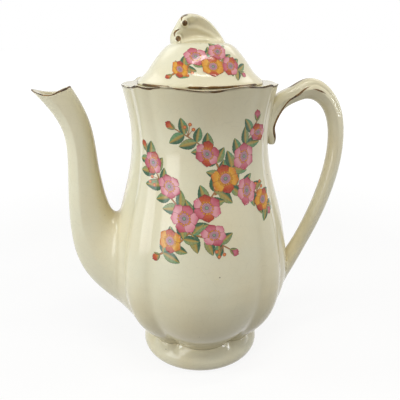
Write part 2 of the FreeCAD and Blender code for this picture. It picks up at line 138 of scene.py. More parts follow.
class Graph:
    """The node tree of one material or of the world."""

    def __init__(self, tree: bpy.types.NodeTree) -> None:
        """Clears the tree."""
        self.tree = tree
        tree.nodes.clear()

    def node(self, kind: str, settings: dict | None = None, inputs: dict | None = None,
             output: int | str = 0) -> Value:
        """Adds any node.

        Args:
            kind: Blender's name of the node's type.
            settings: the node's own options, set first.
            inputs: a value or a link for each socket, by name or place.
            output: the socket that is wanted.

        Returns:
            The wanted output.
        """
        made = self.tree.nodes.new(kind)
        for name, setting in (settings or {}).items():
            setattr(made, name, setting)
        for key, value in (inputs or {}).items():
            if isinstance(value, Value):
                self.tree.links.new(value.socket, made.inputs[key])
            else:
                made.inputs[key].default_value = value
        return Value(self, made.outputs[output])

    def place(self) -> Value:
        """Place on the piece, in metres in the frame of the solids."""
        return self.node("ShaderNodeTexCoord", output="Object")

    def noise(self, waves: float, detail: float = 2.0, roughness: float = 0.5) -> Value:
        """Soft noise from 0 to 1, with a number of waves to the metre."""
        return self.node("ShaderNodeTexNoise", inputs={
            "Vector": self.place(), "Scale": waves, "Detail": detail, "Roughness": roughness})

    def cells(self, count: float, output: str, feature: str = "F1") -> Value:
        """Scattered cells, with a number of them to the metre."""
        return self.node("ShaderNodeTexVoronoi", {"feature": feature},
                         {"Vector": self.place(), "Scale": count}, output)

    def spread(self, value: Number, span: Pair, to: Pair = (0.0, 1.0)) -> Value:
        """A value taken from one range to another, and held at its ends."""
        return self.node("ShaderNodeMapRange", {"clamp": True}, dict(enumerate((value, *span, *to))))

    def mix(self, share: Number, first: Union[Colour, Value], second: Union[Colour, Value]) -> Value:
        """A colour between two colours."""
        return self.node("ShaderNodeMix", {"data_type": "RGBA"}, {0: share, 6: first, 7: second}, 2)

    def blend(self, share: Number, first: Value, second: Value) -> Value:
        """A shader between two shaders."""
        return self.node("ShaderNodeMixShader", inputs={0: share, 1: first, 2: second})

    def attribute(self, name: str, output: str) -> Value:
        """A value that the mesh carries at its points."""
        return self.node("ShaderNodeAttribute", {"attribute_name": name}, output=output)

    def bump(self, height: Value, strength: float, distance: float) -> Value:
        """Normal that a height in metres tilts."""
        return self.node("ShaderNodeBump", inputs={
            "Height": height, "Strength": strength, "Distance": distance})

    def seen(self) -> Value:
        """One for what the camera sees, straight or by way of a mirror or a glass."""
        rays = [self.node("ShaderNodeLightPath", output=f"Is {kind} Ray")
                for kind in ("Camera", "Glossy", "Transmission")]
        return rays[0].either(rays[1]).either(rays[2])

    def principled(self, inputs: dict) -> Value:
        """The one shader that most finishes use."""
        return self.node("ShaderNodeBsdfPrincipled", inputs=inputs)

    def finish(self, shader: Value, kind: str = "ShaderNodeOutputMaterial") -> None:
        """Links a shader to the output."""
        output = self.tree.nodes.new(kind)
        self.tree.links.new(shader.socket, output.inputs["Surface"])


# Most of a noise lies in this range, and glaze over clay or print has this roughness and index.
NOISE_SPAN = (0.3, 0.7)
GLOSS = (0.09, 0.15)
GLASS_IOR = 1.42


class Finish:
    """A procedural material with a name."""

    name: str = "finish"

    def shade(self, graph: Graph) -> Value:
        """Builds the shader."""
        raise NotImplementedError

    def material(self) -> bpy.types.Material:
        """Makes the material, once for all pieces.

        Returns:
            The material.
        """
        found = bpy.data.materials.get(self.name)
        if found:
            return found
        made = bpy.data.materials.new(self.name)
        made.use_nodes = True
        graph = Graph(made.node_tree)
        graph.finish(self.shade(graph))
        return made


@dataclass(frozen=True)
class Glaze(Finish):
    """Glossy cream glaze, mottled, speckled and finely crazed, darker where it pools in the hollows and
    where shade is painted into it.
    """

    name: str = "cream_glaze"
    cream: Colour = linear(232, 225, 196)
    warm: Colour = linear(226, 212, 174)
    cool: Colour = linear(224, 221, 196)
    # Colour of pooled glaze, and of painted shade.
    pool_and_shade_colour: Colour = linear(196, 184, 146)
    speck: Colour = linear(96, 84, 66)
    mottle_waves: float = 26.0
    mottle_detail: float = 3.0
    mottle_roughness: float = 0.55
    mottle_span: Pair = (0.35, 0.65)
    cloud_waves: float = 59.8
    cloud_shares: Pair = (0.35, 0.75)
    speck_cells: float = 95.0
    speck_span: Pair = (0.0225, 0.045)
    bare_share: float = 0.45
    speck_strength: float = 0.8
    craze_cells: float = 240.0
    craze_width: float = 0.03
    craze_share: float = 0.06
    ripple_waves: float = 120.0
    ripple_detail: float = 1.0
    ripple_strength: float = 0.5
    ripple_depth: float = 0.00006

    def shade(self, graph: Graph) -> Value:
        """Builds the glaze, coat by coat.

        Args:
            graph: the empty node tree of the material.

        Returns:
            The shader.
        """
        mottle = graph.noise(self.mottle_waves, self.mottle_detail, self.mottle_roughness)
        tint = graph.mix(graph.spread(mottle, self.mottle_span), self.warm, self.cool)
        cloud = graph.spread(graph.noise(self.cloud_waves), NOISE_SPAN, self.cloud_shares)
        coat = graph.mix(cloud, tint, self.cream)
        # Darker where the glaze pools and where shade is painted, by the value that the mesh carries.
        coat = graph.mix(graph.attribute("pool", "Fac"), coat, self.pool_and_shade_colour)
        away = graph.spread(graph.cells(self.speck_cells, "Distance"), self.speck_span)
        lot = graph.node("ShaderNodeSeparateColor", inputs={0: graph.cells(self.speck_cells, "Color")})
        spot = (1 - away) * (lot > self.bare_share) * self.speck_strength
        coat = graph.mix(spot, coat, self.speck)
        crack = graph.cells(self.craze_cells, "Distance", "DISTANCE_TO_EDGE")
        crack = graph.spread(crack, (0.0, self.craze_width), (self.craze_share, 0.0))
        ripple = graph.noise(self.ripple_waves, self.ripple_detail)
        return graph.principled({
            "Base Color": graph.mix(crack, coat, self.speck),
            "Roughness": graph.spread(mottle, NOISE_SPAN, GLOSS),
            "IOR": GLASS_IOR,
            "Normal": graph.bump(ripple, self.ripple_strength, self.ripple_depth),
        })


@dataclass(frozen=True)
class Gilding(Finish):
    """Thin worn gold line, brown where it has rubbed."""

    name: str = "worn_gilding"
    bright: Colour = linear(118, 88, 48)
    rubbed: Colour = linear(52, 35, 22)
    wear_waves: float = 420.0
    wear_detail: float = 4.0
    wear_roughness: float = 0.7
    wear_share: float = 0.6
    patch_waves: float = 105.0
    sound_span: Pair = (0.38, 0.62)
    metal: Pair = (0.35, 0.8)
    roughness: Pair = (0.3, 0.5)

    def shade(self, graph: Graph) -> Value:
        """Builds the gold.

        Args:
            graph: the empty node tree of the material.

        Returns:
            The shader.
        """
        wear = graph.noise(self.wear_waves, self.wear_detail, self.wear_roughness)
        patch = graph.noise(self.patch_waves)
        sound = graph.spread(wear * self.wear_share + patch * (1 - self.wear_share), self.sound_span)
        return graph.principled({
            "Base Color": graph.mix(sound, self.rubbed, self.bright),
            "Metallic": graph.spread(sound, (0.0, 1.0), self.metal),
            "Roughness": graph.spread(wear, NOISE_SPAN, self.roughness),
        })


@dataclass(frozen=True)
class Enamel(Finish):
    """Printed colours under the glaze, a little uneven as a transfer is."""

    name: str = "print_enamel"
    grain_waves: float = 900.0
    grain_shares: Pair = (0.0, 0.06)
    cream: Colour = linear(240, 232, 214)

    def shade(self, graph: Graph) -> Value:
        """Builds the print.

        Args:
            graph: the empty node tree of the material.

        Returns:
            The shader.
        """
        grain = graph.noise(self.grain_waves)
        bare = graph.spread(grain, NOISE_SPAN, self.grain_shares)
        return graph.principled({
            "Base Color": graph.mix(bare, graph.attribute("ink", "Color"), self.cream),
            "Roughness": graph.spread(grain, NOISE_SPAN, GLOSS),
            "IOR": GLASS_IOR,
        })


@dataclass(frozen=True)
class PaleFloor(Finish):
    """White floor that keeps a soft shadow."""

    name: str = "pale_floor"
    paper: Colour = (0.40, 0.39, 0.38, 1.0)
    fibre: Colour = (0.44, 0.43, 0.42, 1.0)
    fibre_waves: float = 8.0
    white: Colour = (1.0, 1.0, 1.0, 1.0)
    glow: float = 1.25
    lift_reach: Pair = (0.25, 0.8)
    lift_shares: Pair = (0.7, 0.88)

    def shade(self, graph: Graph) -> Value:
        """Builds the floor, lifted to white where it is seen and a little less so near the object.

        Args:
            graph: the empty node tree of the material.

        Returns:
            The shader.
        """
        fibre = graph.mix(graph.noise(self.fibre_waves), self.paper, self.fibre)
        paper = graph.principled({"Base Color": fibre, "Roughness": 1.0, "Specular IOR Level": 0.0})
        glow = graph.node("ShaderNodeEmission", inputs={"Color": self.white, "Strength": self.glow})
        away = graph.node("ShaderNodeVectorMath", {"operation": "LENGTH"}, {0: graph.place()}, "Value")
        lifted = graph.blend(graph.spread(away, self.lift_reach, self.lift_shares), paper, glow)
        return graph.blend(graph.seen(), paper, lifted)


GLAZE = Glaze()
GILDING = Gilding()
ENAMEL = Enamel()


class Body(Enum):
    """The two things that the pot comes apart into."""

    POT = "pot"
    LID = "lid"


class Slot(Enum):
    """The finishes that the record names."""

    GLAZE = "glaze"
    GILDING = "gilding"


def held(values: Numbers) -> Numbers:
    """Values held between nought and one."""
    return np.clip(values, 0.0, 1.0)


def bell(away: Numbers, width: float) -> Numbers:
    """One at no distance, and less and less beyond a width."""
    return np.exp(-(away / width) ** 2)


def circle(count: int) -> np.ndarray:
    """Turns of some points that are spread round a circle."""
    return np.arange(count) * FULL_TURN / count


def compass(turns: Numbers) -> np.ndarray:
    """Flat unit ways at some turns."""
    return np.stack([np.cos(turns), np.sin(turns)], -1)


def turned(radius: Numbers, turns: Numbers, height: Numbers) -> np.ndarray:
    """Points at a radius from the axis, a turn round it and a height."""
    return np.stack(np.broadcast_arrays(np.cos(turns) * radius, np.sin(turns) * radius, height), -1)


def upright(flat: np.ndarray, across: Numbers = 0.0) -> np.ndarray:
    """Flat points stood up in the XZ plane, or a distance across it."""
    return np.stack(np.broadcast_arrays(flat[..., 0], across, flat[..., 1]), -1)


def leftward(ahead: np.ndarray) -> np.ndarray:
    """Flat ways to the left of other ways."""
    return np.stack([-ahead[:, 1], ahead[:, 0]], -1)


def unit(vectors: np.ndarray) -> np.ndarray:
    """Vectors of length one."""
    return vectors / np.maximum(np.linalg.norm(vectors, axis=-1, keepdims=True), TINY)


def chords(points: np.ndarray) -> np.ndarray:
    """Distance run along a row of points, from 0."""
    return np.concatenate([[0.0], np.cumsum(np.linalg.norm(np.diff(points, axis=0), axis=1))])


def spline(knots: np.ndarray, values: np.ndarray, places: np.ndarray) -> np.ndarray:
    """Natural cubic spline.

    Args:
        knots: rising places of the given values.
        values: one row for each knot.
        places: where the curve is wanted.

    Returns:
        One row for each place.
    """
    values = values.reshape(len(knots), -1)
    gaps = np.diff(knots)
    matrix = np.eye(len(knots))
    right = np.zeros_like(values)
    for index in range(1, len(knots) - 1):
        before, after = gaps[index - 1:index + 1]
        matrix[index, index - 1:index + 2] = before, 2 * (before + after), after
        slopes = np.diff(values[index - 1:index + 2], axis=0) / gaps[index - 1:index + 1, None]
        right[index] = 6 * (slopes[1] - slopes[0])
    bends = np.linalg.solve(matrix, right)
    span = np.clip(np.searchsorted(knots, places) - 1, 0, len(gaps) - 1)
    gap = gaps[span][:, None]
    low = (knots[span + 1] - places)[:, None]
    high = (places - knots[span])[:, None]
    return (bends[span] * low ** 3 / (6 * gap) + bends[span + 1] * high ** 3 / (6 * gap)
            + (values[span] / gap - bends[span] * gap / 6) * low
            + (values[span + 1] / gap - bends[span + 1] * gap / 6) * high)


def stroke(line: np.ndarray, half: np.ndarray) -> np.ndarray:
    """A flat stroke along a curve.

    Args:
        line: points that the curve runs through.
        half: half of the stroke's width at evenly spaced places.

    Returns:
        Points by place, with one on the left, in the middle and on the right.
    """
    run = chords(line)
    path = spline(run, line, np.linspace(0.0, run[-1], len(half)))
    left = leftward(unit(np.gradient(path, axis=0)))
    return path[:, None, :] + left[:, None, :] * (half[:, None] * np.array([1.0, 0.0, -1.0]))[..., None]


def soften(values: np.ndarray, axis: int, spread: float, round_about: bool) -> np.ndarray:
    """Values blurred along one axis.

    Args:
        values: rows of numbers, or one row.
        axis: the axis to blur along.
        spread: width of the blur in steps.
        round_about: whether the axis closes on itself.

    Returns:
        The blurred values.
    """
    half = max(1, math.ceil(3 * spread))
    weights = np.exp(-0.5 * (np.arange(-half, half + 1) / spread) ** 2)
    weights /= weights.sum()
    widths = [(half, half) if index == axis else (0, 0) for index in range(values.ndim)]
    if round_about:
        padded = np.pad(values, widths, mode="wrap")
    else:
        padded = np.pad(values, widths, mode="reflect", reflect_type="odd")
    return np.apply_along_axis(lambda line: np.convolve(line, weights, mode="valid"), axis, padded)


def between(grid: np.ndarray, row: np.ndarray, column: np.ndarray) -> np.ndarray:
    """Looks up a grid that closes round its columns.

    Args:
        grid: points by row and column.
        row: places between the rows.
        column: places between the columns.

    Returns:
        A point for each place.
    """
    rows, columns = grid.shape[:2]
    low = np.clip(np.floor(row).astype(int), 0, rows - 2)
    left = np.floor(column).astype(int)
    rise, side = (row - low)[..., None], (column - left)[..., None]
    left, right = left % columns, (left + 1) % columns
    return ((grid[low, left] * (1 - side) + grid[low, right] * side) * (1 - rise)
            + (grid[low + 1, left] * (1 - side) + grid[low + 1, right] * side) * rise)


def strip_faces(rows: int, columns: int, start: int) -> list[tuple[int, ...]]:
    """Quads of an open grid whose first point has a given number."""
    corners = [start + row * columns + column for row in range(rows - 1) for column in range(columns - 1)]
    return [(corner, corner + 1, corner + columns + 1, corner + columns) for corner in corners]


class Probe:
    """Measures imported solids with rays, in millimetres."""

    def __init__(self, *nodes: str) -> None:
        """Gathers solids.

        Args:
            nodes: names of their nodes.
        """
        points: list[Vector] = []
        faces: list[list[int]] = []
        for node in nodes:
            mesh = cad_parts[node].data
            start = len(points)
            points += [vertex.co / MM for vertex in mesh.vertices]
            faces += [[start + index for index in face.vertices] for face in mesh.polygons]
        self.tree = BVHTree.FromPolygons(points, faces)

    def hit(self, start: Sequence[float], way: Sequence[float]) -> Vector:
        """First point of the solids on a ray.

        Args:
            start: where the ray starts.
            way: where it runs to.

        Returns:
            The point.
        """
        point = self.tree.ray_cast(Vector(start), Vector(way))[0]
        if point is None:
            raise ValueError(f"no solid on the ray from {tuple(start)} along {tuple(way)}")
        return point


@dataclass
class Skin:
    """Rows of points, closed round the columns, with normals out of the surface."""

    points: np.ndarray
    loop: bool = False
    capped: bool = False

    def normals(self) -> np.ndarray:
        """Finds the way out of the surface.

        Returns:
            A unit normal at each point.
        """
        beside = np.roll(self.points, -1, 1) - np.roll(self.points, 1, 1)
        if self.loop:
            along = np.roll(self.points, -1, 0) - np.roll(self.points, 1, 0)
        else:
            along = np.gradient(self.points, axis=0)
        return unit(np.cross(beside, along))

    def faces(self) -> list[tuple[int, ...]]:
        """Joins the points to quads, with a cap on both ends of a capped surface.

        Returns:
            Point numbers of each face.
        """
        rows, columns = self.points.shape[:2]
        quads = []
        for row in range(rows if self.loop else rows - 1):
            for column in range(columns):
                beside = (column + 1) % columns
                above = (row + 1) % rows
                quads.append((row * columns + column, row * columns + beside,
                              above * columns + beside, above * columns + column))
        if self.capped:
            quads.append(tuple(reversed(range(columns))))
            quads.append(tuple(range((rows - 1) * columns, rows * columns)))
        return quads

    def tree(self) -> BVHTree:
        """Search tree of the surface."""
        return BVHTree.FromPolygons([Vector(point) for point in self.points.reshape(-1, 3)], self.faces())

    def at(self, row: np.ndarray, column: np.ndarray, lift: float) -> np.ndarray:
        """Points lifted off the surface, at places between its rows and columns."""
        return between(self.points + self.normals() * lift, row, column)


@dataclass
class Joint:
    """Two surfaces luted together, with a fillet of wet clay between them."""

    first: Skin
    second: Skin
    reach: float
    sink: float
    # How much the fillet darkens the glaze: partly pooled glaze, partly painted shade between the parts.
    pool: float
    rounds: int = 5
    touch: float = 1e-4
    facing: float = -0.4

    def __post_init__(self) -> None:
        """Makes the search trees of the bare surfaces."""
        self.trees = (self.first.tree(), self.second.tree())

    def _away(self, tree: BVHTree, point: Vector) -> tuple[float, Vector]:
        """Measures a point against a surface.

        Args:
            tree: search tree of the surface.
            point: any point.

        Returns:
            Distance outside the surface, below nought inside, and the way straight out of it.
        """
        nearest, normal, _, away = tree.find_nearest(point)
        gap = point - nearest
        if away < self.touch:
            return 0.0, normal
        if gap.dot(normal) < 0:
            return -away, -gap / away
        return away, gap / away

    def settle(self, points: np.ndarray, second: bool = False) -> tuple[np.ndarray, np.ndarray]:
        """Moves points of one surface onto the fillet.

        Args:
            points: rows of points of one of the two surfaces.
            second: whether they are the second surface's.

        Returns:
            The moved points, and how much of the fillet each of them holds, from 0 to 1.
        """
        own, other = self.trees[::-1] if second else self.trees
        settled = points.copy()
        shares = np.zeros(points.shape[:-1])
        for index in np.ndindex(shares.shape):
            start = point = Vector(points[index])
            if other.find_nearest(point, self.reach)[0] is None or self._away(other, point)[0] < -self.sink:
                continue
            for _ in range(self.rounds):
                (near, out), (far, outward) = self._away(own, point), self._away(other, point)
                if out.dot(outward) < self.facing:
                    break
                if far < near:
                    near, out, far, outward = far, outward, near, out
                share = max(self.reach - (far - near), 0.0) / self.reach
                lean = out * (1 - share / 2) + outward * (share / 2)
                point = point - lean * ((near - self.reach / 4 * share ** 2) / lean.length_squared)
                shares[index] = share
            if (point - start).length < self.sink + self.reach / 2:
                settled[index] = point
        return settled, shares

    def tuck(self, points: np.ndarray, depth: float) -> np.ndarray:
        """Keeps the second surface out of the hollow behind the first.

        Args:
            points: rows of points of the second surface.
            depth: how deep they may lie under the first surface.

        Returns:
            The points, with those that lie deeper moved up.
        """
        raised = points.copy()
        for index in np.ndindex(points.shape[:2]):
            point = Vector(points[index])
            nearest, normal, _, away = self.trees[0].find_nearest(point)
            if (point - nearest).dot(normal) < 0 and away > depth:
                raised[index] = nearest - normal * depth
        return raised


def add_mesh(name: str, points: np.ndarray, faces: Sequence[Sequence[int]],
             finish: Finish) -> bpy.types.Object:
    """Adds a smooth mesh in metres.

    Args:
        name: name of the piece.
        points: its points in millimetres.
        faces: point numbers of each face.
        finish: what it is coated with.

    Returns:
        The object.
    """
    mesh = bpy.data.meshes.new(name)
    mesh.from_pydata((points.reshape(-1, 3) * MM).tolist(), [], [list(face) for face in faces])
    mesh.update()
    mesh.polygons.foreach_set("use_smooth", [True] * len(mesh.polygons))
    mesh.materials.append(finish.material())
    piece = bpy.data.objects.new(name, mesh)
    bpy.context.scene.collection.objects.link(piece)
    return piece


def seat(piece: bpy.types.Object, body: Body, slot: Slot, *nodes: str) -> None:
    """Puts a piece in its place in the frame.

    Args:
        piece: the object.
        body: what it rides on.
        slot: its finish in the record; not used.
        nodes: solids that it stands for, if any.
    """
    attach(piece, body.value)
    if nodes:
        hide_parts(*nodes)
    LOG.info("%s: %d faces on %s", piece.name, len(piece.data.polygons), body.value)


def glaze_piece(name: str, skin: Skin, pool: Numbers, body: Body, node: str) -> None:
    """Makes a glazed piece.

    Args:
        name: name of the piece.
        skin: its surface.
        pool: how much darker the glaze is at each point, from 0 to 1, where it has pooled and where shade is
            painted.
        body: what it rides on.
        node: the solid that it stands for.
    """
    piece = add_mesh(name, skin.points, skin.faces(), GLAZE)
    layer = piece.data.attributes.new("pool", "FLOAT", "POINT")
    layer.data.foreach_set("value", np.broadcast_to(pool, skin.points.shape[:2]).astype(np.float32).ravel())
    seat(piece, body, Slot.GLAZE, node)


@dataclass
class GiltLine:
    """Gilt line over some rows of a surface, a little uneven at both edges and rubbed through in places."""

    name: str
    skin: Skin
    rows: Pair
    worn: float
    edge_softness: float = 1.5
    edge_start: float = 0.3
    edge_gain: float = 2.0
    edge_most: float = 0.85
    wear_softness: float = 2.5
    wear_gain: float = 3.0
    thread: float = 0.05
    lift: float = 0.05

    def build(self, body: Body, node: str) -> None:
        """Makes the line.

        Args:
            body: what it rides on.
            node: the solid that it stands for.
        """
        count = self.skin.points.shape[1]
        draw = np.random.default_rng(len(self.name))
        low, high = math.ceil(self.rows[0]), math.floor(self.rows[1])
        edges = []
        for edge, inner in zip(self.rows, (low, high)):
            waver = soften(draw.random(count), 0, self.edge_softness, True) - self.edge_start
            edges.append(edge + (inner - edge) * np.clip(waver * self.edge_gain, 0.0, self.edge_most))
        rows = np.stack([edges[0], *(np.full(count, float(row)) for row in range(low, high + 1)), edges[1]])
        wear = soften(draw.random(count), 0, self.wear_softness, True)
        kept = np.ones(count)
        if self.worn:
            kept = held((np.quantile(wear, 1 - self.worn) - wear) / wear.std() * self.wear_gain)
        middle = sum(self.rows) / 2
        rows = middle + (rows - middle) * np.maximum(kept, self.thread)
        band = Skin(self.skin.at(rows, np.broadcast_to(np.arange(count), rows.shape), self.lift))
        left = kept + np.roll(kept, -1) > 0
        faces = [face for face in band.faces() if left[min(face) % count]]
        seat(add_mesh(self.name, band.points, faces, GILDING), body, Slot.GILDING, node)


@dataclass
class GiltMarks:
    """Small strips of gilt that are laid one by one and made as one piece."""

    strips: list[np.ndarray] = field(default_factory=list)
    faces: list[tuple[int, ...]] = field(default_factory=list)

    def lay(self, strip: np.ndarray, side: int) -> None:
        """Adds one strip.

        Args:
            strip: points by row and column.
            side: 1 or -1, for strips that run the one way round or the other.
        """
        start = sum(len(done) for done in self.strips)
        self.strips.append(strip.reshape(-1, 3))
        self.faces += [face[::-side] for face in strip_faces(*strip.shape[:2], start)]

    def build(self, name: str, body: Body) -> None:
        """Makes the piece on its body."""
        seat(add_mesh(name, np.concatenate(self.strips), self.faces, GILDING), body, Slot.GILDING)


@dataclass
class PotBody:
    """Lobed body with its lip, ledge and hollow inside, measured on the solids."""

    # Rows up the outside, with lobes and creases.
    columns: int = 240
    rows: int = 120
    row_gaps: Pair = (0.3, 0.2)
    row_softness: float = 1.0
    lobe_heights: Row = (16.0, 45.0, 80.0, 120.0, 150.0)
    lobe_gains: Row = (2.8, 2.2, 1.6, 1.2, 1.0)
    crease_softness: float = 1.3
    crease_reach: float = 4.0
    # Pooled glaze in creases. By height, darker glaze toward the foot, partly pooled and partly painted
    # shade, and painted shade under the lip. Painted shade over the ledge and inside.
    crease_pool: float = 0.35
    pool_and_shade_heights: Row = (16.0, 34.0, 66.0, 140.0, 158.0, 170.0)
    pool_and_shade_shares: Row = (0.65, 0.55, 0.0, 0.0, 0.3, 0.42)
    inside_shade: float = 0.6
    # Fillet above the foot, and the closed underside.
    foot_fill: float = 1.3
    fill_height: float = 2.2
    base_inset: float = 2.0
    hub: float = 0.5
    # Wavy lip and its gilt line.
    lip_below: float = 3.0
    lip_inset: float = 0.3
    lip_rise: Pair = (0.5, 0.6)
    rise_start: float = 0.9
    lip_swell: float = 0.05
    lip_round: float = 0.7
    lip_turns: Row = (20.0, 45.0, 70.0, 90.0)
    gilt_rows: Pair = (-1.75, 1.6)
    gilt_worn: float = 0.08
    # Ledge for the lid, mouth and hollow.
    ledge_radius: float = 37.0
    ledge_shares: Row = (0.25, 0.5, 0.75, 0.97)
    ledge_corner: float = 0.4
    probe_depth: float = 3.0
    mouth_round: Line = ((0.8, 0.0), (0.2, 0.2), (0.0, 0.8))
    inside_rows: int = 60
    inside_gaps: Pair = (2.0, 0.4)
    inside_turn: float = 70.0
    floor_radius: float = 20.0
    # Lookup of places for the print.
    last_share: float = 0.9999
    normal_step: float = 0.4

    def __post_init__(self) -> None:
        """Measures the body."""
        self.probe = Probe("pot_body", "rim_gilding")
        low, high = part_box("pot_body")
        self.base, self.top = low.z / MM, high.z / MM
        self.turns = circle(self.columns)
        self._measure_lip()
        self._measure_wall()
        self.plain = Skin(turned(self.radii, self.turns, self.heights))
        self.skin = Skin(self._profile(), capped=True)

    def _wall_radius(self, turn: float, height: float) -> float:
        """Radius of the outside at a turn and a height."""
        way = turned(-1.0, turn, 0.0)
        return math.hypot(*self.probe.hit(turned(OUTSIDE, turn, height), way)[:2])

    def _measure_lip(self) -> None:
        """Finds the height of the wavy lip at each column."""
        self.lip = np.empty(self.columns)
        for column, turn in enumerate(self.turns):
            radius = self._wall_radius(turn, self.top - self.lip_below) - self.lip_inset
            self.lip[column] = self.probe.hit(turned(radius, turn, self.top + ABOVE), DOWN).z

    def _measure_wall(self) -> None:
        """Finds radii and heights up the outside, with deeper lobes, soft creases and a raised lip."""
        first, last = self.base + self.row_gaps[0], self.lip - self.row_gaps[1]
        shares = np.linspace(0.0, 1.0, self.rows)[:, None]
        heights = first + (last - first) * shares
        radii = np.array([[self._wall_radius(turn, height) for turn, height in zip(self.turns, row)]
                          for row in heights])
        middle = radii.mean(1, keepdims=True)
        radii = middle + (radii - middle) * np.interp(heights, self.lobe_heights, self.lobe_gains)
        spread = self.crease_softness / (radii.mean() * FULL_TURN / self.columns)
        smooth = soften(soften(radii, 1, spread, True), 0, self.row_softness, False)
        wide = soften(radii, 1, self.crease_reach * spread, True)
        self.creases = held((wide - smooth) * self.crease_pool)
        self.radii = smooth + self.foot_fill * bell(heights - self.base, self.fill_height)
        self.rise = self.lip_rise[0] + self.lip_rise[1] * np.sin(self.turns) ** 2
        self.lip += self.rise
        self.heights = heights + self.rise * (held(shares - self.rise_start) / (1 - self.rise_start)) ** 2

    def _ring(self, radius: Numbers, height: Numbers) -> np.ndarray:
        """One row of points at a radius and a height for each column."""
        return turned(radius, self.turns, height)

    def _profile(self) -> np.ndarray:
        """Goes from the middle of the underside over the lip and the ledge to the middle of the floor.

        Returns:
            Rows of points.
        """
        rows = [self._ring(self.hub, self.base), self._ring(self.radii[0] - self.base_inset, self.base)]
        rows += list(self.plain.points)
        self.lip_row = len(rows)
        lip_radius = self.radii[-1] + self.lip_swell
        for turn in np.radians(self.lip_turns):
            rows.append(self._ring(lip_radius - self.lip_round * (1 - math.cos(turn)),
                                   self.lip - self.lip_round * (1 - math.sin(turn))))
        ledge = self.probe.hit((self.ledge_radius - self.probe_depth, 0, self.top + ABOVE), DOWN).z
        for share in self.ledge_shares:
            rows.append(self._ring((lip_radius - self.lip_round) * (1 - share) + self.ledge_radius * share,
                                   self.lip * (1 - share) + ledge * share))
        rows.append(self._ring(self.ledge_radius - self.ledge_corner, ledge))
        mouth = -self.probe.hit((0, 0, ledge - self.probe_depth), (0, -1, 0)).y
        rows += [self._ring(mouth + out, ledge - down) for out, down in self.mouth_round]
        floor = self.probe.hit((0, 0, ledge), DOWN).z
        way = turned(1.0, math.radians(self.inside_turn), 0.0)
        below, above = self.inside_gaps
        for height in np.linspace(ledge - below, floor + above, self.inside_rows):
            rows.append(self._ring(math.hypot(*self.probe.hit((0, 0, height), way)[:2]), height))
        rows += [self._ring(radius, floor) for radius in (self.floor_radius, self.hub)]
        return np.stack(rows)

    def _outside_at(self, turn: np.ndarray, level: np.ndarray) -> np.ndarray:
        """Points of the outside.

        Args:
            turn: turns round the axis.
            level: heights above the table.

        Returns:
            A point for each turn and height.
        """
        column = (turn / FULL_TURN * self.columns) % self.columns
        seam = np.arange(self.columns + 1)
        lowest, highest = (np.interp(column, seam, np.append(ends, ends[0]))
                           for ends in (self.heights[0], self.heights[-1] - self.rise))
        row = np.clip((level - lowest) / (highest - lowest), 0.0, self.last_share) * (self.rows - 1)
        return turned(between(self.radii[..., None], row, column)[..., 0], turn, level)

    def surface(self, across: np.ndarray, height: np.ndarray) -> tuple[np.ndarray, np.ndarray]:
        """Points and normals of the outside.

        Args:
            across: distance to the right of the middle of the front, along the wall.
            height: height above the table.

        Returns:
            The points, and their unit normals.
        """
        mean = self.radii.mean(1)
        turn = FRONT + across / np.interp(height, self.heights.mean(1), mean)
        step, swing = self.normal_step, self.normal_step / mean.max()
        beside = self._outside_at(turn + swing, height) - self._outside_at(turn - swing, height)
        along = self._outside_at(turn, height + step) - self._outside_at(turn, height - step)
        return self._outside_at(turn, height), unit(np.cross(beside, along))

    def build(self, joints: Sequence[Joint]) -> None:
        """Makes the body and the gilt line on its lip.

        Args:
            joints: where spout and handle are luted on, each with a fillet.
        """
        rows = slice(self.lip_row - self.rows, self.lip_row)
        points = self.skin.points
        pool = np.zeros(points.shape[:2])
        # Painted shade by height on the lower belly and under the lip, partly pooled glaze near the foot;
        # pooled glaze in the creases.
        pool[rows] = np.maximum(self.creases, np.interp(self.heights, self.pool_and_shade_heights, self.pool_and_shade_shares))
        # The fillets darken the glaze, partly as pooled glaze and partly as painted shade.
        for joint in joints:
            points[rows], share = joint.settle(points[rows])
            pool[rows] = np.maximum(pool[rows], joint.pool * share ** 2)
        # Painted shade over the ledge and inside the pot.
        pool[self.lip_row + len(self.lip_turns):] = self.inside_shade
        glaze_piece("body_glaze", self.skin, pool, Body.POT, "pot_body")
        gilt_rows = tuple(self.lip_row + row for row in self.gilt_rows)
        GiltLine("rim_gilt_line", self.skin, gilt_rows, self.gilt_worn).build(Body.POT, "rim_gilding")


@dataclass
class FootRing:
    """Rounded foot whose neck takes on the lobes of the body above it."""

    neck: np.ndarray
    rows: int = 28
    row_ends: Pair = (0.06, 0.96)
    bore_bevel: Line = ((0.0, 1.0), (0.3, 0.3), (1.0, 0.0))
    sole_inset: float = 1.2
    tuck: Pair = (0.2, 0.6)
    neck_height: float = 6.0
    # Darker glaze toward the top of the foot: painted shade under the belly, partly pooled glaze.
    pool: float = 0.55
    pool_and_shade_start: float = 0.6

    def build(self) -> None:
        """Makes the foot from the solid's own profile."""
        probe = Probe("foot_ring")
        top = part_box("foot_ring")[1].z / MM
        bore = probe.hit((0, 0, top / 2), (0, 1, 0)).y
        inside = [(bore, top), *((bore + out, up) for out, up in self.bore_bevel)]
        heights = top * (0.5 - 0.5 * np.cos(np.linspace(*self.row_ends, self.rows) * math.pi))
        outside = [(probe.hit((OUTSIDE, 0, height), INWARD).x, height) for height in heights]
        sole = (outside[0][0] - self.sole_inset, 0.0)
        tucked = (outside[-1][0] - self.tuck[0], top + self.tuck[1])
        radii, levels = np.array([*inside, sole, *outside, tucked]).T[..., None]
        climb = held((levels - top) / self.neck_height + 1)
        climb[:len(inside)] = 0.0
        radii = radii + climb ** 2 * (3 - 2 * climb) * (self.neck - outside[-1][0])
        skin = Skin(turned(radii, circle(len(self.neck)), levels), loop=True)
        # Painted shade under the belly, partly pooled glaze: darker toward the top of the foot.
        pool = self.pool * held((levels / top - self.pool_and_shade_start) / (1 - self.pool_and_shade_start))
        glaze_piece("foot_glaze", skin, pool, Body.POT, "foot_ring")


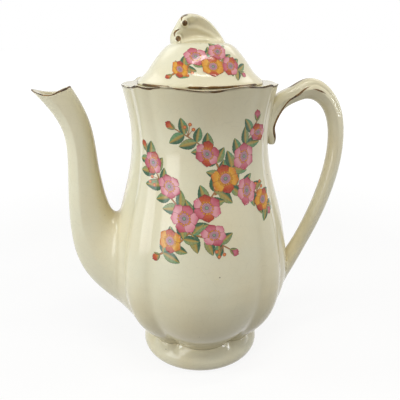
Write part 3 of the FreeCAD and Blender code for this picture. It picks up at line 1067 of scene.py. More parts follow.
def oval(centre: np.ndarray, axis: np.ndarray, depth: np.ndarray, width: np.ndarray, ridge: np.ndarray,
         turns: np.ndarray, flat: Numbers = 0.0, ridge_at: float = 0.0) -> np.ndarray:
    """Rows of rounded sections with a soft ridge on either flank.

    Args:
        centre: middle of each section.
        axis: unit direction of each section's depth, in the XZ plane.
        depth: size along the axis.
        width: size along Y.
        ridge: how far the flanks are drawn in beside the ridge.
        turns: angles round a section, 0 along the axis.
        flat: how flat the flanks are, from 0 for an oval to 1 for a box.
        ridge_at: where the ridges are, from -1 to 1 along the axis.

    Returns:
        Points by section and turn.
    """
    along = np.cos(turns)[None, :]
    side = np.sin(turns)[None, :]
    beside = np.where(along > ridge_at, (along - ridge_at) / (1 - ridge_at),
                      (ridge_at - along) / (1 + ridge_at))
    draw = ridge[:, None] * (1 - (2 * beside - 1) ** 2)
    bulge = np.abs(side) ** (1 - np.asarray(flat).reshape(-1, 1))
    points = centre[:, None, :] + axis[:, None, :] * (along * depth[:, None] / 2)[..., None]
    points[..., 1] += np.sign(side) * (width[:, None] / 2 * bulge - draw)
    return points


@dataclass(frozen=True)
class SpoutSection:
    """One section of the spout, from its outer to its inner edge in the XZ plane, with its width."""

    out: Spot
    inner: Spot
    width: float


@dataclass
class Spout:
    """Swan-neck spout with a scooped lip."""

    sections: tuple[SpoutSection, ...] = (
        SpoutSection((-41.6, 25.5), (-41.6, 94.5), 40.0),
        SpoutSection((-61.3, 42.6), (-50.8, 91.6), 28.0),
        SpoutSection((-72.0, 58.0), (-54.8, 99.6), 23.0),
        SpoutSection((-76.9, 85.0), (-57.2, 111.5), 20.0),
        SpoutSection((-75.7, 117.0), (-58.6, 122.5), 17.6),
        SpoutSection((-77.4, 142.0), (-61.6, 144.5), 17.0),
        SpoutSection((-95.0, 166.5), (-73.5, 169.1), 19.5),
    )
    columns: int = 96
    rows: int = 110
    fine_rows: int = 600
    ridge: float = 0.5
    ridge_at: float = 0.22
    wall: float = 2.6
    tuck: float = 2.0
    # The lip is cut by a circle in the XZ plane, with a step of a rise, a middle and a spread.
    lip_centre: Spot = (-80.6, 186.4)
    lip_curve: float = 26.0
    lip_step: tuple[float, float, float] = (1.75, -77.3, 1.0)
    lip_from: float = 0.6
    lip_round: Line = ((0.12, 0.35), (0.35, 0.55), (0.65, 0.55), (0.88, 0.35))
    gilt_rows: Pair = (-0.6, 1.9)
    gilt_worn: float = 0.0
    # Painted shade: a brown tint of the glaze on the side towards the body, by height, and darker glaze in
    # the bore.
    side_shade: float = 1.0
    side_shade_narrowness: int = 3
    side_shade_heights: Row = (60.0, 95.0, 140.0, 160.0)
    side_shade_shares: Row = (0.0, 1.0, 1.0, 0.2)
    bore_shade: float = 0.45

    def __post_init__(self) -> None:
        """Works out the outside and the bore."""
        self.turns = circle(self.columns)
        self.outside = Skin(self._tube(0.0))
        self.bore = self._tube(self.wall)

    def _stations(self, places: np.ndarray, inset: float) -> np.ndarray:
        """Sections of the whole spout, before the lip is cut.

        Args:
            places: from 0 at the root to 1 at the last section.
            inset: how far the surface lies inside the outside.

        Returns:
            Points by place and turn.
        """
        table = np.array([(*section.out, *section.inner, section.width) for section in self.sections])
        knots = chords((table[:, 0:2] + table[:, 2:4]) / 2)
        rows = spline(knots / knots[-1], table, places)
        outer, inner, width = rows[:, 0:2], rows[:, 2:4], rows[:, 4]
        depth = np.linalg.norm(outer - inner, axis=1)
        return oval(upright((outer + inner) / 2), unit(upright(outer - inner)), depth - 2 * inset,
                    width - 2 * inset, np.full(len(rows), self.ridge), -self.turns, ridge_at=self.ridge_at)

    def _tube(self, inset: float) -> np.ndarray:
        """Rows from the root to the scooped lip, whose end differs from column to column.

        Args:
            inset: how far the surface lies inside the outside.

        Returns:
            Points by row and column.
        """
        fine = np.linspace(0.0, 1.0, self.fine_rows)
        dense = self._stations(fine, inset)
        rise, middle, spread = self.lip_step
        away = np.hypot(dense[..., 0] - self.lip_centre[0], dense[..., 2] - self.lip_centre[1])
        away += rise / (1 + np.exp((middle - dense[..., 0]) / spread)) - self.lip_curve
        points = np.empty((self.rows, self.columns, 3))
        for column in range(self.columns):
            cut = np.flatnonzero((away[:, column] < 0) & (fine > self.lip_from))
            last = cut[0] if len(cut) else len(fine) - 1
            before, after = away[last - 1:last + 1, column]
            end = fine[last - 1] + (fine[last] - fine[last - 1]) * before / max(before - after, TINY)
            places = np.linspace(0.0, end, self.rows)
            for axis in range(3):
                points[:, column, axis] = np.interp(places, fine, dense[:, column, axis])
        return points

    def build(self, joint: Joint) -> None:
        """Makes the spout with its lip rounded over the wall, and its gilt edge.

        Args:
            joint: where it is luted to the body.
        """
        settled, share = joint.settle(self.outside.points, second=True)
        outside, bore = joint.tuck(settled, self.tuck), joint.tuck(self.bore, self.tuck)
        rise = unit(outside[-1] - outside[-3])
        lip = [outside[-1] * (1 - over) + bore[-1] * over + rise * lift for over, lift in self.lip_round]
        skin = Skin(np.stack([*outside, *lip, *bore[::-1]]))
        # Painted shade: darker glaze on the side towards the body and in the bore; at the joint, partly
        # pooled glaze and partly painted shade.
        side_shade = self.side_shade * held(-np.cos(self.turns)) ** self.side_shade_narrowness
        side_shade = side_shade * np.interp(settled[..., 2], self.side_shade_heights, self.side_shade_shares)
        pool = np.zeros(skin.points.shape[:2])
        pool[:self.rows] = np.maximum(joint.pool * share ** 2, side_shade)
        pool[self.rows + len(lip):] = self.bore_shade
        glaze_piece("spout_glaze", skin, pool, Body.POT, "spout")
        gilt_rows = tuple(self.rows - 1 + row for row in self.gilt_rows)
        GiltLine("spout_gilt_line", skin, gilt_rows, self.gilt_worn).build(Body.POT, "spout_gilding")


@dataclass(frozen=True)
class HandleSection:
    """One section of the handle: its middle in the XZ plane, thickness, width, flank ridge and flatness."""

    at: Spot
    thickness: float
    width: float
    ridge: float
    flat: float = 0.0


@dataclass(frozen=True)
class Trace:
    """A line on the handle: distances along it, and angles from its top in degrees."""

    run: Row
    turn: Row


@dataclass
class Handle:
    """Strap from a small scroll on the neck over a crown, and a rod down to the belly."""

    sections: tuple[HandleSection, ...] = (
        HandleSection((40.6, 130.6), 3.6, 9.0, 0.2, 0.6),
        HandleSection((41.1, 134.0), 6.2, 10.0, 0.2, 0.6),
        HandleSection((39.8, 139.5), 4.8, 11.0, 0.2, 0.6),
        HandleSection((40.6, 146.5), 7.0, 11.0, 0.2, 0.6),
        HandleSection((46.2, 155.6), 9.2, 11.0, 0.3, 0.55),
        HandleSection((53.2, 159.3), 8.2, 13.0, 0.5, 0.4),
        HandleSection((61.6, 162.2), 12.3, 13.5, 0.9, 0.15),
        HandleSection((72.7, 155.9), 9.9, 11.0, 0.3),
        HandleSection((78.1, 144.8), 9.2, 11.0, 0.3),
        HandleSection((79.5, 135.0), 8.8, 11.0, 0.3),
        HandleSection((74.5, 100.5), 8.8, 11.0, 0.3),
        HandleSection((62.1, 69.5), 8.8, 11.0, 0.3),
        HandleSection((47.0, 42.2), 10.5, 16.0, 0.3),
    )
    edge: Trace = Trace((2.0, 10.0, 16.0, 21.0, 26.0, 31.0, 36.0, 39.5, 43.0),
                        (122.0, 136.0, 138.0, 136.0, 120.0, 99.0, 91.0, 80.0, 72.0))
    short_stroke: Trace = Trace((44.0, 48.0, 52.5), (87.0, 87.0, 82.0))
    far_stroke: Trace = Trace((33.0, 38.0, 43.0), (2.0, -2.0, -4.0))
    crease: Trace = Trace((40.0, 43.0, 46.0, 50.0, 55.0, 60.0, 67.0),
                          (72.0, 67.0, 58.0, 60.0, 60.0, 63.0, 70.0))
    columns: int = 96
    rows: int = 240
    row_softness: float = 4.0
    tip: float = 1.6
    tip_least: float = 0.02
    tuck: float = 2.0
    # Relief on the strap.
    edge_rise: float = 0.6
    crease_depth: float = 0.6
    relief_width: float = 0.7
    relief_fade: float = 4.0
    # Gilt lines.
    gilt_seed: int = 5
    gilt_step: float = 0.35
    gilt_points: int = 7
    gilt_half_width: float = 0.42
    gilt_swell: Pair = (2.0, 1.0)
    swell_run: Pair = (18.0, 27.0)
    gilt_fade: float = 3.0
    gilt_least: float = 0.15
    gilt_waver: Pair = (0.7, 0.6)
    waver_softness: float = 2.0
    gilt_lift: float = 0.06

    def __post_init__(self) -> None:
        """Works out the surface, with the raised edge of the strap and the crease of its pointed end."""
        self.turns = circle(self.columns)
        table = np.array([section.at for section in self.sections])
        sizes = np.array([(section.thickness, section.width, section.ridge, section.flat)
                          for section in self.sections])
        knots = chords(table)
        self.places = np.linspace(0.0, knots[-1], self.rows)
        line = spline(knots, table, self.places)
        axis = unit(upright(leftward(np.gradient(line, axis=0))))
        self.depth, width, ridge, flat = (
            soften(np.interp(self.places, knots, size), 0, self.row_softness, False) for size in sizes.T)
        taper = np.sqrt(np.clip(1 - (1 - held(self.places / self.tip)) ** 2, self.tip_least, 1.0))
        self.outside = Skin(oval(upright(line), axis, self.depth * taper, width * taper, ridge * taper,
                                 -self.turns, flat), capped=True)
        self._add_relief(self.edge, self.edge_rise)
        self._add_relief(self.crease, -self.crease_depth)

    def _add_relief(self, trace: Trace, rise: float) -> None:
        """Raises a soft line on both sides of the handle.

        Args:
            trace: where it runs.
            rise: its height, below nought for a crease.
        """
        to_ends = np.minimum(self.places - trace.run[0], trace.run[-1] - self.places)
        angle = np.radians(np.interp(self.places, trace.run, trace.turn))
        folded = np.minimum(self.turns, FULL_TURN - self.turns)
        gap = (folded[None, :] - angle[:, None]) * self.depth[:, None] / 2
        swell = rise * held(to_ends / self.relief_fade)[:, None] * bell(gap, self.relief_width)
        self.outside.points = self.outside.points + self.outside.normals() * swell[..., None]

    def _gild(self, trace: Trace, side: int, draw: np.random.Generator) -> np.ndarray:
        """One gilt line on the surface.

        Args:
            trace: where it runs.
            side: 1 or -1, for the side that it is on.
            draw: source of its uneven width.

        Returns:
            Points along and across the line.
        """
        run = np.arange(trace.run[0], trace.run[-1], self.gilt_step)
        middle = np.radians(np.interp(run, trace.run, trace.turn))
        ends = np.clip(np.minimum(run - run[0], run[-1] - run) / self.gilt_fade, self.gilt_least, 1.0)
        least, waver = self.gilt_waver
        half = self.gilt_half_width * np.interp(run, self.swell_run, self.gilt_swell) * ends
        half = half * (least + waver * soften(draw.random(len(run)), 0, self.waver_softness, False))
        spread = half / np.interp(run, self.places, self.depth / 2)
        turns = side * (middle[:, None] + spread[:, None] * np.linspace(-1.0, 1.0, self.gilt_points))
        rows = np.repeat((run / self.places[-1] * (self.rows - 1))[:, None], self.gilt_points, 1)
        return self.outside.at(rows, turns / FULL_TURN * self.columns, self.gilt_lift)

    def build(self, joint: Joint) -> None:
        """Makes the handle and the gilt lines along its strap.

        Args:
            joint: where it is luted to the body.
        """
        settled, share = joint.settle(self.outside.points, second=True)
        self.outside.points = joint.tuck(settled, self.tuck)
        # Darker glaze in the fillet, partly pooled and partly painted shade.
        glaze_piece("handle_glaze", self.outside, joint.pool * share ** 2, Body.POT, "handle")
        draw = np.random.default_rng(self.gilt_seed)
        gilt = GiltMarks()
        for trace, sides in ((self.edge, (1, -1)), (self.short_stroke, (1, -1)), (self.far_stroke, (-1,))):
            for side in sides:
                gilt.lay(self._gild(trace, side, draw), side)
        gilt.build("handle_gilt_lines", Body.POT)


@dataclass
class Lid:
    """Domed lid with its flange and hollow, measured on the solid."""

    columns: int = 192
    dome_rows: int = 60
    dome_ends: Pair = (0.005, 0.985)
    crown_drop: float = 2.8
    crown_reach: Pair = (6.0, 18.0)
    shoulder_rise: float = 0.6
    shoulder_radius: float = 21.0
    shoulder_width: float = 4.5
    # Hollow, flange and edge.
    probe_height: float = 3.0
    hollow_rows: int = 24
    hollow_gap: float = 0.4
    bevel: float = 0.5
    seat_round: Line = ((0.0, 0.6), (0.4, 0.08))
    edge_depth: float = 1.3
    edge_under: Line = ((0.7, -0.05), (0.1, 0.3), (0.0, 0.8))
    edge_over: Line = ((0.12, -0.1), (0.5, 0.25))
    edge_inset: float = 0.6
    gilt_rows: Pair = (0.5, 3.4)
    gilt_worn: float = 0.3
    least_radius: float = 4.0

    def __post_init__(self) -> None:
        """Measures the dome, lowered under the grip and a little fuller at its shoulder."""
        self.probe = Probe("lid_dome", "lid_gilding")
        low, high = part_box("lid_dome")
        self.foot, self.crown = low.z / MM, high.z / MM
        self.radius, _, self.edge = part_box("lid_gilding")[1] / MM
        radii = self.radius * np.sin(np.linspace(*self.dome_ends, self.dome_rows) * math.pi / 2)
        fall = 0.5 + 0.5 * np.cos(np.interp(radii, self.crown_reach, (0.0, 1.0)) * math.pi)
        swell = self.shoulder_rise * bell(radii - self.shoulder_radius, self.shoulder_width)
        levels = [self.probe.hit((radius, 0, self.crown + ABOVE), DOWN).z for radius in radii]
        self.dome = np.stack([radii, levels + swell - self.crown_drop * fall], -1)
        profile = self._profile()
        self.skin = Skin(turned(profile[:, :1], circle(self.columns), profile[:, 1:]), capped=True)

    def _profile(self) -> np.ndarray:
        """Goes from the middle of the hollow over the flange and the edge to the crown.

        Returns:
            Rows of a radius and a height.
        """
        ledge, level = self.edge - self.edge_depth, self.foot + self.probe_height
        outer = self.probe.hit((OUTSIDE, 0, level), INWARD).x
        inner = self.probe.hit((0, 0, level), OUTWARD).x
        hollow = [(radius, self.probe.hit((radius, 0, self.foot), UP).z)
                  for radius in np.linspace(self.hollow_gap, inner - self.hollow_gap, self.hollow_rows)]
        flange = [(inner, self.foot + self.bevel), (inner + self.bevel, self.foot),
                  (outer - self.bevel, self.foot), (outer, self.foot + self.bevel)]
        flange += [(outer + out, ledge - down) for out, down in self.seat_round]
        edge = [(self.radius - inset, ledge + up) for inset, up in self.edge_under]
        edge += [(self.radius - inset, self.edge + up) for inset, up in self.edge_over]
        self.edge_row = len(hollow) + len(flange)
        crown = self.dome[self.dome[:, 0] < self.radius - self.edge_inset]
        return np.array([*hollow, *flange, *edge, *crown[::-1]])

    def surface(self, across: np.ndarray, height: np.ndarray) -> tuple[np.ndarray, np.ndarray]:
        """Points and normals of the dome.

        Args:
            across: distance to the right of the middle of the front, round the dome.
            height: distance up the slope from the edge.

        Returns:
            The points, and their unit normals.
        """
        slope = self.dome[::-1]
        run = chords(slope)
        lean = np.gradient(slope, run, axis=0)
        radius, level, widening, climb = (
            np.interp(height, run, column) for column in (*slope.T, *lean.T))
        turn = FRONT + across / np.maximum(radius, self.least_radius)
        return turned(radius, turn, level), unit(turned(climb, turn, -widening))

    def build(self) -> None:
        """Makes the lid and the gilt line on its edge."""
        glaze_piece("lid_glaze", self.skin, 0.0, Body.LID, "lid_dome")
        gilt_rows = tuple(self.edge_row + row for row in self.gilt_rows)
        GiltLine("lid_gilt_line", self.skin, gilt_rows, self.gilt_worn).build(Body.LID, "lid_gilding")


@dataclass
class Finial:
    """Leaning shell-like grip on the crown of the lid, with a rolled edge that ends in two volutes."""

    outline: Line = (
        (15.8, 180.5), (14.4, 185.2), (9.3, 193.2), (1.2, 200.2), (-4.7, 201.7), (-10.0, 200.1),
        (-13.0, 196.0), (-16.0, 190.0), (-15.8, 185.5), (-15.0, 180.5))
    middle: Spot = (-2.0, 184.0)
    roll: Line = (
        (-13.2, 182.0), (-13.3, 187.0), (-12.6, 192.0), (-10.4, 196.2), (-8.4, 199.0), (-5.0, 200.2))
    ridges: tuple[Line, ...] = (
        ((-7.0, 194.8), (-2.0, 194.6), (5.0, 191.6), (11.0, 187.4)),
        ((-9.5, 187.6), (-4.0, 188.6), (3.0, 188.6), (9.0, 186.5), (13.0, 183.5)))
    commas: tuple[Line, ...] = (
        ((-6.6, 200.9), (-8.6, 200.5), (-9.9, 199.3), (-10.0, 197.9)),
        ((-11.3, 193.6), (-12.9, 192.9), (-13.9, 191.5), (-13.6, 190.0)))
    dots: Line = ((-8.3, 196.7), (-11.9, 189.0))
    rows: int = 150
    columns: int = 46
    first_share: float = 0.03
    # Relief on both faces.
    face: float = 2.5
    roll_rise: float = 2.6
    roll_width: float = 2.3
    rim_rise: float = 1.5
    rim_width: float = 3.0
    rim_from: float = -8.0
    rim_fade: float = 4.0
    ridge_rises: Pair = (0.8, 1.6)
    ridge_width: float = 1.2
    base_top: float = 190.5
    base_height: float = 4.2
    base_rise: float = 2.6
    comma_depth: float = 0.7
    comma_width: float = 0.55
    boss_rise: float = 1.0
    boss_width: float = 1.5
    moat_depth: float = 0.5
    moat_radius: float = 2.3
    moat_width: float = 0.6
    round_from: Pair = (-12.0, 2.0)
    round_sizes: Pair = (3.2, 1.3)
    # Joint with the lid, with darker glaze at the joint, partly pooled and partly painted shade, and painted
    # shade in the scoop.
    tuck: float = 0.3
    pool: float = 0.35
    pool_and_shade_height: float = 2.0
    scoop_shade: float = 0.7
    scoop_edge: float = 1.4
    # Gilt dots and commas.
    dot_radius: float = 1.45
    dot_rings: int = 6
    dot_points: int = 25
    mark_points: int = 24
    mark_half: Pair = (0.12, 0.36)
    mark_lift: Pair = (0.08, 0.03)

    def __post_init__(self) -> None:
        """Works out the surface, the far face as a mirror of the near one."""
        edge = np.array(self.outline) - np.array(self.middle)
        turns = np.unwrap(np.arctan2(edge[:, 1], edge[:, 0]))
        self.turns = np.linspace(turns[0], turns[-1], self.rows)
        self.spans = spline(turns, np.linalg.norm(edge, axis=1), self.turns)[:, 0]
        shares = np.sin(np.linspace(self.first_share, 1.0, self.columns) * math.pi / 2)
        reach = self.spans[:, None] * shares[None, :]
        flat = np.array(self.middle) + compass(self.turns)[:, None, :] * reach[..., None]
        half = self._half(flat)
        near, far = upright(flat, -half), upright(flat, half)
        self.skin = Skin(np.concatenate([near, far[:, -2::-1]], 1), capped=True)

    @staticmethod
    def _away(spots: np.ndarray, line: Line) -> np.ndarray:
        """Distance of flat points from a line.

        Args:
            spots: flat points.
            line: corners of the line.

        Returns:
            A distance for each point.
        """
        found = np.full(spots.shape[:-1], np.inf)
        for first, last in zip(np.array(line[:-1]), np.array(line[1:])):
            step = last - first
            share = held(((spots - first) @ step) / (step @ step))
            found = np.minimum(found, np.linalg.norm(spots - first - share[..., None] * step, axis=-1))
        return found

    def _deep(self, spots: np.ndarray) -> np.ndarray:
        """Measures how far points lie inside the outline.

        Args:
            spots: points of the XZ plane.

        Returns:
            A distance for each point, nought outside.
        """
        gap = spots - np.array(self.middle)
        turn = np.mod(np.arctan2(gap[..., 1], gap[..., 0]) - FRONT, FULL_TURN) + FRONT
        return np.maximum(np.interp(turn, self.turns, self.spans) - np.linalg.norm(gap, axis=-1), 0.0)

    def _thick(self, spots: np.ndarray) -> np.ndarray:
        """Half of the thickness at points of the XZ plane, before the edge is rounded.

        Args:
            spots: points of the plane.

        Returns:
            The face with its roll, rim, ridges, base, grooves and bosses.
        """
        thick = self.face + self.roll_rise * bell(self._away(spots, self.roll), self.roll_width)
        thick += (self.rim_rise * bell(self._deep(spots), self.rim_width)
                  * held((spots[..., 0] - self.rim_from) / self.rim_fade))
        thick += self.base_rise * held((self.base_top - spots[..., 1]) / self.base_height) ** 2
        for ridge, rise in zip(self.ridges, self.ridge_rises):
            thick += rise * bell(self._away(spots, ridge), self.ridge_width)
        for comma in self.commas:
            thick -= self.comma_depth * bell(self._away(spots, comma), self.comma_width)
        for dot in self.dots:
            away = np.linalg.norm(spots - np.array(dot), axis=-1)
            thick += self.boss_rise * bell(away, self.boss_width)
            thick -= self.moat_depth * bell(away - self.moat_radius, self.moat_width)
        return thick

    def _half(self, spots: np.ndarray) -> np.ndarray:
        """Half of the thickness at points of the XZ plane."""
        inside = held(self._deep(spots) / np.interp(spots[..., 0], self.round_from, self.round_sizes))
        return self._thick(spots) * np.sqrt(inside * (2 - inside))

    def _dot(self, centre: Spot) -> np.ndarray:
        """Flat points of a round mark."""
        rings = np.linspace(self.first_share, 1.0, self.dot_rings)[:, None, None] * self.dot_radius
        return np.array(centre) + rings * compass(np.linspace(0, FULL_TURN, self.dot_points))

    def _comma(self, line: Line) -> np.ndarray:
        """Flat points of a curved mark that is thick in its middle."""
        thin, swell = self.mark_half
        return stroke(np.array(line), thin + swell * np.sin(np.linspace(0.0, math.pi, self.mark_points)))

    def build(self, dome: np.ndarray) -> None:
        """Makes the grip and its gilt dots and commas on both faces.

        Args:
            dome: radius and height of the lid below it, from the middle outwards.
        """
        points = self.skin.points
        ground = np.interp(np.hypot(points[..., 0], points[..., 1]), *dome.T) - self.tuck
        points[..., 2] = np.maximum(points[..., 2], ground)
        # Painted shade in the scoop between the roll and the ridges; at the joint, darker glaze, partly
        # pooled and partly painted shade.
        scoop = held((self.face + self.scoop_edge - self._thick(points[..., ::2])) / self.scoop_edge)
        joint = held(1 - (points[..., 2] - ground) / self.pool_and_shade_height)
        pool = np.maximum(self.scoop_shade * scoop, self.pool * joint)
        glaze_piece("finial_glaze", self.skin, pool, Body.LID, "lid_finial")
        gilt = GiltMarks()
        out, up = self.mark_lift
        for spots in [*map(self._dot, self.dots), *map(self._comma, self.commas)]:
            for side in (-1, 1):
                marks = upright(spots, side * self._half(spots)) + np.array([0.0, side * out, up])
                gilt.lay(marks, side)
        gilt.build("finial_gilt_marks", Body.LID)


@dataclass(frozen=True)
class PetalInk:
    """Colours of a petal at its foot, in its middle, at its rim and along its edge."""

    foot: Colour
    middle: Colour
    rim: Colour
    edge: Colour


BLUSH = PetalInk(linear(184, 66, 84), linear(224, 160, 168), linear(202, 96, 118), linear(146, 22, 42))
ROSE = PetalInk(linear(160, 40, 52), linear(204, 108, 126), linear(172, 48, 66), linear(126, 12, 26))
AMBER = PetalInk(linear(180, 96, 26), linear(226, 168, 44), linear(204, 112, 26), linear(156, 38, 18))
RUST = PetalInk(linear(216, 140, 34), linear(192, 78, 24), linear(156, 26, 20), linear(116, 12, 16))


class Bloom(Enum):
    """Blossoms by the colours of their petals, in turn."""

    PINK = (BLUSH, ROSE, BLUSH)
    MIXED = (ROSE, RUST, BLUSH)
    GOLD = (AMBER, RUST, AMBER)


@dataclass(frozen=True)
class Blossom:
    """One blossom of a plan: its middle, size, colours and turn in degrees."""

    at: Spot
    size: float
    bloom: Bloom
    turn: float


@dataclass(frozen=True)
class Plan:
    """A painted spray in millimetres across and up: stems, blossoms, buds and sprays of berries."""

    stems: tuple[Line, ...]
    blossoms: tuple[Blossom, ...]
    buds: tuple[tuple[float, float, float], ...]
    berries: tuple[tuple[float, float, float], ...]
    leaf: float
    leaf_step: float


BODY_PLAN = Plan(
    stems=(
        ((-26.0, 82.0), (-12.0, 92.0), (-2.0, 106.0), (8.0, 120.0), (20.0, 134.0), (30.5, 149.2)),
        ((-6.0, 101.0), (-16.0, 109.0), (-26.0, 120.0), (-34.0, 134.0)),
        ((4.0, 114.0), (16.0, 117.0), (28.0, 113.0), (38.0, 103.0)),
        ((9.0, 121.0), (3.0, 133.0), (-7.0, 142.0), (-16.0, 147.0)),
        ((-10.0, 95.0), (1.0, 92.0), (12.0, 86.0)),
    ),
    blossoms=(
        Blossom((-29.5, 128.0), 6.6, Bloom.MIXED, 10.0),
        Blossom((-19.5, 117.0), 7.2, Bloom.PINK, 40.0),
        Blossom((-19.5, 90.0), 6.8, Bloom.GOLD, 25.0),
        Blossom((-11.5, 102.0), 7.6, Bloom.PINK, 5.0),
        Blossom((3.5, 94.0), 7.0, Bloom.PINK, 50.0),
        Blossom((0.5, 134.5), 7.2, Bloom.MIXED, 20.0),
        Blossom((0.0, 107.5), 7.8, Bloom.MIXED, 35.0),
        Blossom((35.0, 107.0), 6.2, Bloom.GOLD, 0.0),
        Blossom((23.5, 113.5), 7.8, Bloom.PINK, 15.0),
        Blossom((10.0, 121.5), 8.2, Bloom.GOLD, 45.0),
        Blossom((21.5, 131.5), 7.8, Bloom.PINK, 30.0),
        Blossom((31.5, 143.0), 6.0, Bloom.MIXED, 55.0),
    ),
    buds=((-26.0, 82.0, 215.0), (30.5, 149.2, 95.0), (-34.0, 134.0, 115.0), (38.0, 103.0, 310.0),
          (-16.0, 147.0, 150.0), (12.0, 86.0, 325.0)),
    berries=((-9.0, 143.5, 80.0), (8.0, 88.5, 250.0), (-26.0, 120.0, 200.0), (31.0, 111.0, 70.0)),
    leaf=9.6, leaf_step=7.2)
LID_PLAN = Plan(
    stems=(
        ((-17.0, 7.0), (-8.0, 13.0), (3.0, 17.0), (13.0, 14.0), (21.0, 8.0)),
        ((2.0, 16.0), (5.0, 19.5), (7.0, 22.5)),
    ),
    blossoms=(
        Blossom((-12.5, 10.5), 5.4, Bloom.GOLD, 20.0),
        Blossom((-4.0, 18.0), 6.6, Bloom.PINK, 45.0),
        Blossom((14.5, 12.0), 6.0, Bloom.MIXED, 5.0),
        Blossom((4.5, 12.0), 6.6, Bloom.GOLD, 30.0),
        Blossom((7.5, 21.0), 5.8, Bloom.PINK, 15.0),
    ),
    buds=((-17.0, 7.0, 205.0), (21.0, 8.0, 325.0)),
    berries=((-8.0, 13.0, 265.0),),
    leaf=7.4, leaf_step=5.4)


@dataclass(frozen=True)
class PetalShape:
    """A petal's grid, outline and tints, in shares of its length and half width."""

    reach: Row = (0.0, 0.12, 0.28, 0.45, 0.62, 0.78, 0.9, 0.97)
    across: Row = (-1.0, -0.86, -0.5, 0.0, 0.5, 0.86, 1.0)
    start: float = 0.14
    foot: float = 0.24
    swell: float = 0.7
    bluntness: int = 6
    droop: float = 0.12
    wave: float = 0.03
    waves: int = 3
    lean: float = 0.22
    tone: float = 1.05
    tone_stops: Row = (0.0, 0.5, 1.0)
    edge: float = 0.95
    edge_ink: float = 0.85


@dataclass(frozen=True)
class LeafShape:
    """A leaf's grid, outline and tints, in shares of its length and half width."""

    rows: int = 15
    across: Row = (-1.0, -0.84, -0.45, -0.08, 0.08, 0.45, 0.84, 1.0)
    slim: float = 0.27
    sepal_slim: float = 0.13
    swell: float = 0.8
    teeth: float = 0.08
    foot: float = 0.03
    bend: float = 0.18
    rib: float = 0.1
    rib_ink: float = 0.7
    vein_rows: int = 3
    vein_at: float = 0.45
    vein_ink: float = 0.45
    flush_most: float = 0.7
    flush_places: Pair = (0.1, 0.7)
    flush_fall: Pair = (1.3, 2.2)
    flush_side: float = 0.3
    edge: float = 0.95
    edge_ink: float = 0.9


@dataclass(frozen=True)
class BlossomShape:
    """The parts of a blossom, in shares of its size."""

    petals: int = 6
    petal_half: float = 0.5
    petal_lengths: Pair = (0.93, 1.06)
    petal_jitter: float = 0.08
    spoke_points: int = 37
    spoke_rings: Row = (0.1, 0.22, 0.33)
    spoke_inks: Row = (0.6, 1.0, 0.5)
    grains: int = 14
    grain_reach: Pair = (0.36, 0.46)
    grain_jitter: float = 0.1
    grain_size: float = 0.08
    grain_points: int = 7
    eye: float = 0.14
    tilt: float = 0.2
    tilt_turn: float = 1.7


@dataclass(frozen=True)
class TwigShape:
    """Stems, and the leaves, buds and berries on them. Buds are in shares of their size."""

    half: float = 0.55
    step: float = 1.2
    least_points: int = 6
    taper: Pair = (1.0, 0.55)
    waver: Pair = (0.85, 0.3)
    first_leaf: float = 2.5
    look_ahead: float = 0.5
    leaf_leans: Pair = (0.7, 1.1)
    leaf_sizes: Pair = (0.8, 1.1)
    bud_size: float = 0.6
    bud_half: float = 0.26
    bud_petals: Line = ((-0.2, 0.95), (0.2, 0.95), (0.0, 1.05))
    sepal_leans: Pair = (-0.5, 0.5)
    sepal_length: float = 0.75
    sepal_drop: float = 0.05
    berry_stalks: Line = ((-0.5, 4.4), (0.0, 6.0), (0.5, 4.8))
    stalk_half: float = 0.22
    stalk_bow: float = 0.3
    berry_radius: float = 0.95


class Coat(Enum):
    """The lowest coat of paint of each part of a spray."""

    STEM = 0
    LEAF = 1
    BUD = 4
    BLOSSOM = 6


